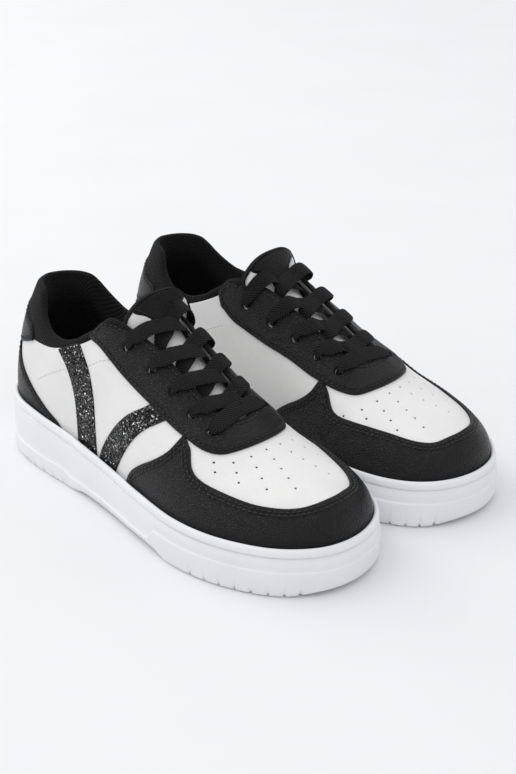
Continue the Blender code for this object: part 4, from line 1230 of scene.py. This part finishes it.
def lace_hole(point, side, outwards, tail=False, loose=0.0):
    """The lace's way through one eyelet. A tail turns down the shoe's side underneath."""
    x, y = point
    under = -side if tail else side
    steps = [
        lace_point(x, y, under * 4.4, UNDER, 5.6), lace_point(x, y, under * 1.5, UNDER + 0.2, 3.6),
        lace_point(x, y, 0, -2.2, 3.3), lace_point(x, y, -side * 0.4, 0.9, 3.5),
        lace_point(x, y, side * (1.2 - 0.25 * loose), OVER - 0.6 + 0.6 * loose, 4.8 + 0.3 * loose),
        lace_point(x, y, side * (4.0 - 0.15 * loose), OVER - 0.2 + loose, 8.0),
    ]
    if tail:
        steps.insert(0, lace_point(x - 1.5, y, under * 8, UNDER, 4.6))
        steps.insert(0, lace_point(x - 3.0, y, under * 11.5, UNDER - 0.2, 4.0))
    return steps if outwards else steps[::-1]


def lace_strip(start, end, on_top, loose=0.0):
    """Across the throat, from beside one eyelet to under the other side's edge."""
    if on_top:
        shape = [
            (0.18, OVER), (0.27, OVER), (0.38, 1.4), (0.5, 1.0), (0.66, 0.6), (0.735, -1.4),
            (0.78, UNDER),
        ]
    else:
        shape = [
            (0.18, OVER), (0.26, OVER), (0.32, 0.9), (0.38, -0.5), (0.47, -1.0), (0.62, -1.4),
            (0.72, -2.7), (0.77, UNDER),
        ]
    rows = []
    for share, offset in shape:
        offset += loose * (1 - float(ease(share, 0.14, 0.42)))
        x = start[0] + (end[0] - start[0]) * share
        y = start[1] + (end[1] - start[1]) * share
        row = lace_point(x, y, 0, offset, STRIP_WIDTH if share < 0.7 else 8.4)
        if 0.16 < share < 0.72:
            row = on_crown(row, x, y, 2.9 if on_top else 1.3)
        rows.append(row)
    return rows


def lace_route():
    """The lace's way through the eyelets: up the shoe from the outer side's lowest eyelet, over
    the front and back down to the inner side's."""
    outer, inner = EYELETS_OUTER, EYELETS_INNER
    row_a = [outer[0], inner[1], outer[2], inner[3], outer[4]]
    row_b = [inner[4], outer[3], inner[2], outer[1], inner[0]]
    route = []
    for k, point in enumerate(row_a):
        side = 1 if k % 2 == 0 else -1
        loose = LOOSE[k] if side == lean_side else 0.0
        route += lace_hole(point, side, True, k == 0, loose)
        if k < 4:
            route += lace_strip(point, row_a[k + 1], side > 0, loose)
    a, b = outer[4], inner[4]
    for share in (0.2, 0.4, 0.6, 0.8):
        x, y = a[0] + (b[0] - a[0]) * share, a[1] + (b[1] - a[1]) * share
        route.append(lace_point(x, y, 0, OVER - 1.2 * math.sin(math.pi * share) ** 2, STRIP_WIDTH))
    for k, point in enumerate(row_b):
        side = -1 if k % 2 == 0 else 1
        loose = LOOSE[4 - k] if side == lean_side else 0.0
        route += lace_hole(point, side, False, k == 4, loose)
        if k < 4:
            above = LOOSE[3 - k] if -side == lean_side else 0.0
            route += lace_strip(row_b[k + 1], point, side < 0, above)[::-1]
    return route


def strap(centres, flats, widths, thickness):
    """A soft flat strap with rounded edges along a path, and its UV in millimetres."""
    c = np.array(centres, float)
    way = np.gradient(c, axis=0)
    way /= np.linalg.norm(way, axis=1)[:, None]
    angles = np.arange(16) * 2 * np.pi / 16
    shape = np.column_stack([
        np.sign(np.cos(angles)) * np.abs(np.cos(angles)) ** 0.45,
        np.sign(np.sin(angles)) * np.abs(np.sin(angles)) ** 0.8,
    ])
    run = lengths_along(c)
    rows, uvs = [], []
    for k, (q, d, flat, wide) in enumerate(zip(c, way, flats, widths)):
        flat = flat - d * np.dot(flat, d)
        flat = flat / np.linalg.norm(flat)
        up = np.cross(d, flat)
        plump = thickness * (1 + 0.5 * max(0.0, 1 - wide / STRIP_WIDTH))
        rows.append([q + flat * (a * wide / 2) + up * (b * plump / 2) for a, b in shape])
        uvs += [(run[k], a * wide / 2) for a, b in shape]
    points, faces = sweep(rows)
    return points, faces, np.array(uvs)


def crown_height(x, y):
    """Height of the tongue's face near a plan position."""
    near = np.argsort((CROWN[:, 0] - x) ** 2 + (CROWN[:, 1] - y) ** 2)[:4]
    return float(CROWN[near, 2].mean())


def on_crown(row, x, y, lift):
    """A lace point raised so that it lies over the tongue's face."""
    point, flat, width = row
    need = crown_height(x, y) + lift - point[2]
    if need > 0:
        point = point + np.array([0.15, 0, 1.0]) * need
    return point, flat, width


def make_tongue_layers(own):
    """The tongue's padded white face and its lining."""
    face_points, face_faces, face_uv = tongue_body(0.0, TONGUE_END, 0.15, -2.6, crown=0.3)
    tongues = make(
        "tongue", face_points, face_faces, "white_leather", "tongue", ("tongue_face", "tongue_foam"),
        uv=face_uv, shoes=own,
    )
    lining_points, lining_faces, lining_uv = tongue_body(0.01, TONGUE_END, -2.5, -5.8)
    make(
        "tongue_lining", lining_points, lining_faces, "black_textile", "tongue", ("tongue_lining",),
        uv=lining_uv, shoes=own,
    )


def make_tongue_patch(own):
    """The black leather patch at the tongue's top, with the stitches along both of its sides."""
    patch_rows = []
    for k in range(31):
        s = PATCH_START + (TONGUE_END - PATCH_START) * k / 30
        share = patch_half(s)
        ring = []
        for v in np.linspace(-1, 1, 19):
            thin = min(1.0, (1 - abs(v)) * float(tongue_half(s)) * share / 0.9)
            dome = 0.3 * (1 - v * v) + 0.75 * math.sqrt(max(0.0, thin * (2 - thin)))
            ring.append(tongue_point(s, v * share, 0.45 + dome))
        for v in np.linspace(1, -1, 19):
            ring.append(tongue_point(s, v * share, 0.2))
        patch_rows.append(ring)
    patch_points, patch_faces = sweep(patch_rows)
    make(
        "tongue_patch", patch_points, patch_faces, "black_leather", "tongue", ("tongue_patch",),
        shoes=own,
    )
    patch_edges = []
    for sign in (-1, 1):
        line = []
        for s in np.linspace(0.81, 0.975, 40):
            line.append(tongue_point(s, sign * (patch_half(s) - 1.8 / float(tongue_half(s))), 1.32))
        line = np.array(line)
        gaps = lengths_along(line)
        for begin in np.arange(0, gaps[-1] - PATCH_STITCH[-1][0], STITCH_PITCH):
            rows = []
            for along, size, lift in PATCH_STITCH:
                q = np.array([np.interp(begin + along, gaps, line[:, k]) for k in range(3)])
                rows.append([
                    q + np.array([0, math.cos(a) * size, math.sin(a) * size + lift])
                    for a in np.arange(6) * np.pi / 3
                ])
            patch_edges.append(sweep(rows))
    seam_points, seam_faces = join(*patch_edges)
    make("tongue_stitches", seam_points, seam_faces, "black_thread", "tongue", shoes=own)


def make_tongue_binding(own):
    """The textile binding round the tongue's top edge."""
    trail = [(s, -1.0) for s in np.linspace(PATCH_START, 0.975, 22)]
    trail += [(TONGUE_END, v) for v in np.linspace(-0.97, 0.97, 28)]
    trail += [(s, 1.0) for s in np.linspace(0.975, PATCH_START, 22)]
    spine = np.array([tongue_point(s, v, -1.9) for s, v in trail])
    spine = smooth_path(spine[::2], 3)
    tangent = np.gradient(spine, axis=0)
    tangent /= np.linalg.norm(tangent, axis=1)[:, None]
    outwards = spine - tongue_point(0.86, 0, -1.9)
    outwards -= tangent * (outwards * tangent).sum(1)[:, None]
    outwards /= np.linalg.norm(outwards, axis=1)[:, None]
    up = np.cross(tangent, outwards)

    def tongue_binding_point(k, a):
        grow = min(1.0, min(k, len(spine) - 1 - k) / 4 + 0.3)
        direction = outwards[k] * 0.9 * math.cos(a) + up[k] * 2.3 * math.sin(a)
        return spine[k] + direction * grow, a * 8.4 / np.pi

    edge_points, edge_faces, edge_uv = tube(spine, tongue_binding_point)
    make(
        "tongue_binding", edge_points, edge_faces, "black_textile", "tongue", uv=edge_uv, shoes=own,
    )


def make_lace(own):
    """The lace and its plastic tips."""
    route = lace_route()
    flats = np.array([r[1] / np.linalg.norm(r[1]) for r in route])
    packed = np.hstack([np.array([r[0] for r in route]), flats * 10, np.array([[r[2]] for r in route])])
    fine = smooth_path(packed, 5)
    lace_points, lace_faces, lace_uv = strap(fine[:, :3], fine[:, 3:6], fine[:, 6], 1.15)
    make("lace", lace_points, lace_faces, "black_lace", nodes=("lace",), uv=lace_uv, shoes=own)
    tips = (("aglet_outer", 1, EYELETS_OUTER[0]), ("aglet_inner", -1, EYELETS_INNER[0]))
    for name, side, (x, y) in tips:
        end = fine[0, :3] if side > 0 else fine[-1, :3]
        tip = lace_point(x - 7, y, -side * 24, UNDER - 1.4, 0)[0]
        step = (tip - end) / np.linalg.norm(tip - end)
        flat = np.array([1.0, 0.0, -0.3])
        line = [end + step * d for d in np.linspace(0.3, 12, 12)]
        size = [3.0] + [3.3] * 10 + [2.6]
        points, faces = strap(line, [flat] * 12, size, 1.5)[:2]
        make(name, points, faces, "black_plastic", nodes=(name,), shoes=own)


for shoe, lean_side in (("right", -1), ("left", 1)):
    CROWN = np.array([
        tongue_point(s, v, 0) for s in np.linspace(0.2, 0.98, 60) for v in np.linspace(-0.95, 0.95, 25)
    ])
    make_tongue_layers((shoe,))
    make_tongue_patch((shoe,))
    make_tongue_binding((shoe,))
    make_lace((shoe,))


# ---------------------------------------------------------------- the rubber cup sole

sole_loop = smooth_path(SOLE_EDGE, 40, closed=True)
closed_loop = np.vstack([sole_loop, sole_loop[:1]])
sole_run = lengths_along(closed_loop)
marks = np.linspace(0, sole_run[-1], 901)[:-1]
sole_line = np.column_stack([np.interp(marks, sole_run, closed_loop[:, k]) for k in (0, 1)])
sole_x = sole_line[:, 0]
sole_out = grow_loop(sole_line, 1.0) - sole_line


def band_height(x):
    """Height of the raised band round the sole's lower edge: tall at the heel and the toe."""
    low = 9.0 - 1.4 * ease(x, 100, 172)
    return 11.6 - (11.6 - low) * ease(x, 82, 90) + 8.2 * ease(x, 172, 182)


def waist(x):
    """1 along the sole's waist and 0 under the heel and the ball of the foot."""
    return ease(x, 88, 104) * (1 - ease(x, 176, 192))


def bottom_height(x):
    """Height of the sole's lower edge, which lifts off the floor under the waist."""
    return 1.8 * waist(x) + 2.5 * ease(x, 262, 280) + 0.8 * (1 - ease(x, 0, 12))


rim = rim_height(sole_x)
band, foot = band_height(sole_x), bottom_height(sole_x)
notch = np.zeros(len(sole_x))
for spot in (41, 51, 61, 71, 81, 211, 221, 230, 239, 247.5, 256, 263, 269):  # the tread's grooves
    for sign in (1, -1):
        here = np.where(np.sign(sole_line[:, 1] + 3) == sign, sole_x, 1e3)
        notch = np.maximum(notch, np.exp(-((here - spot) / 0.55) ** 4))
INNER_WALL = -LAST_INSET + OVERLAY + 0.2  # the cup's wall stands against the panels
RUBBER = [  # (height's start, height from it, outward distance), from the floor up and inside down
    ("foot", 0.0, -3.4), ("foot", 0.25, -2.2), ("foot", 0.9, -1.25), ("foot", 2.0, -0.75),
    ("foot", 3.4, -0.55), ("mid", 0.5, -0.3), ("band", -1.1, -0.05), ("band", -0.45, -0.12),
    ("band", -0.1, -0.45), ("band", 0.1, -0.85), ("band", 0.6, -0.95), ("wall", 0.2, -0.85),
    ("wall", 0.45, -0.75), ("wall", 0.7, -0.85), ("wall", 0.9, -1.05), ("rim", -6.6, -1.35),
    ("rim", -5.75, -1.4), ("rim", -5.55, -1.75), ("rim", -5.3, -2.4), ("rim", -4.95, -2.4),
    ("rim", -4.7, -1.65), ("rim", -4.4, -1.3), ("rim", -3.4, -1.2), ("rim", -2.3, -1.35),
    ("rim", -1.3, -1.7), ("rim", -0.6, -2.1), ("rim", -0.15, -2.6), ("rim", 0.0, -3.1),
    ("rim", -0.15, -3.7), ("rim", -0.8, INNER_WALL + 0.05), ("rim", -4.0, INNER_WALL),
    ("rim", -9.0, INNER_WALL), ("flat", UPPER_BOTTOM - 0.6, INNER_WALL),
    ("flat", UPPER_BOTTOM - 0.7, -LAST_INSET + 0.6), ("flat", 4.6, -LAST_INSET + 0.6),
]
# For each start: its height, and how much 1 in the table stands for there
STARTS = {
    "foot": (foot, 1), "mid": (foot + 3.4, band - foot - 4.5), "band": (band, 1),
    "wall": (band + 0.6, rim - band - 7.2), "rim": (rim, 1), "flat": (np.zeros(len(sole_x)), 1),
}
rings = []
for where, share, distance in RUBBER:
    height, unit = STARTS[where]
    push = np.full(len(sole_x), distance)
    if where == "foot":
        push = push - 1.7 * notch * (1 - ease(share, 3.0, 3.6))
        push = push - 0.9 * waist(sole_x) * (1 - share / 4)
    rings.append(np.column_stack([sole_line + sole_out * push[:, None], height + unit * share]))
sole_points, sole_faces = sweep(rings)
make("cupsole", sole_points, sole_faces, "white_rubber", nodes=("cupsole",))


# ---------------------------------------------------------------- looks of the CAD pieces that stay

for node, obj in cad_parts.items():
    part = node.split("_", 1)[1]
    if obj.hide_render or part not in CAD_LOOKS:
        continue
    obj.data.materials.clear()
    obj.data.materials.append(LOOKS[CAD_LOOKS[part]])


# ---------------------------------------------------------------- floor, light and camera

floor_mat, tree, shader = material("floor", 0.85, specular=0.1)
dust = noise(tree, in_mm(tree), 0.01, 2)
tone = ramp(tree, dust.outputs["Fac"], [(0.3, (0.83, 0.835, 0.845)), (0.7, (0.845, 0.85, 0.86))])
tree.links.new(tone, shader.inputs["Base Color"])
floor_mesh = bpy.data.meshes.new("floor")
reach = 6.0
corners = [(-reach, -reach, 0), (reach, -reach, 0), (reach, reach, 0), (-reach, reach, 0)]
floor_mesh.from_pydata(corners, [], [(0, 1, 2, 3)])
floor = bpy.data.objects.new("floor", floor_mesh)
floor_mesh.materials.append(floor_mat)
bpy.context.scene.collection.objects.link(floor)
bpy.context.scene.view_settings.view_transform = "Standard"

world = bpy.context.scene.world or bpy.data.worlds.new("world")
bpy.context.scene.world = world
world.use_nodes = True
sky = world.node_tree
background = sky.nodes["Background"]
place = sky.nodes.new("ShaderNodeTexCoord")
split = sky.nodes.new("ShaderNodeSeparateXYZ")
sky.links.new(place.outputs["Generated"], split.inputs[0])
sky_tone = ramp(sky, split.outputs[2], [
    (0.0, (0.30, 0.30, 0.31)), (0.3, (0.60, 0.605, 0.62)), (0.7, (0.95, 0.955, 0.975)),
    (1.0, (1.0, 1.0, 1.0)),
])
sky.links.new(sky_tone, background.inputs["Color"])
background.inputs["Strength"].default_value = 1.0


def soft_light(name, place, aim, size, power, colour):
    """A rectangular area light that faces a point."""
    data = bpy.data.lights.new(name, "AREA")
    data.shape = "RECTANGLE"
    data.size, data.size_y = size
    data.energy = power
    data.color = colour
    light = bpy.data.objects.new(name, data)
    light.location = place
    light.rotation_euler = (Vector(aim) - Vector(place)).to_track_quat("-Z", "Y").to_euler()
    bpy.context.scene.collection.objects.link(light)


soft_light("key", (-0.9, 1.3, 2.0), (0, 0, 0.04), (2.4, 2.0), 17, (1.0, 0.99, 0.98))
soft_light("back", (-0.3, 2.3, 1.15), (0, 0, 0.06), (1.8, 0.8), 7, (1.0, 1.0, 1.0))
soft_light("fill", (-1.2, -1.8, 1.2), (0, 0, 0.05), (1.6, 1.6), 2.5, (0.98, 0.99, 1.0))

AZIMUTH, ELEVATION, ROLL = math.radians(-42.976), math.radians(25.299), math.radians(-0.243)
TARGET = Vector((0.039184, 0.030988, 0.030))
DISTANCE = 1.02153
back = Vector((
    math.sin(AZIMUTH) * math.cos(ELEVATION), -math.cos(AZIMUTH) * math.cos(ELEVATION),
    math.sin(ELEVATION),
))
camera = bpy.data.objects.new("camera", bpy.data.cameras.new("camera"))
camera.data.lens, camera.data.sensor_width = 75.06, 36.0
camera.location = TARGET + back * DISTANCE
turn = (-back).to_track_quat("-Z", "Y").to_matrix() @ Matrix.Rotation(ROLL, 3, "Z")
camera.rotation_euler = turn.to_euler()
bpy.context.scene.collection.objects.link(camera)
bpy.context.scene.camera = camera
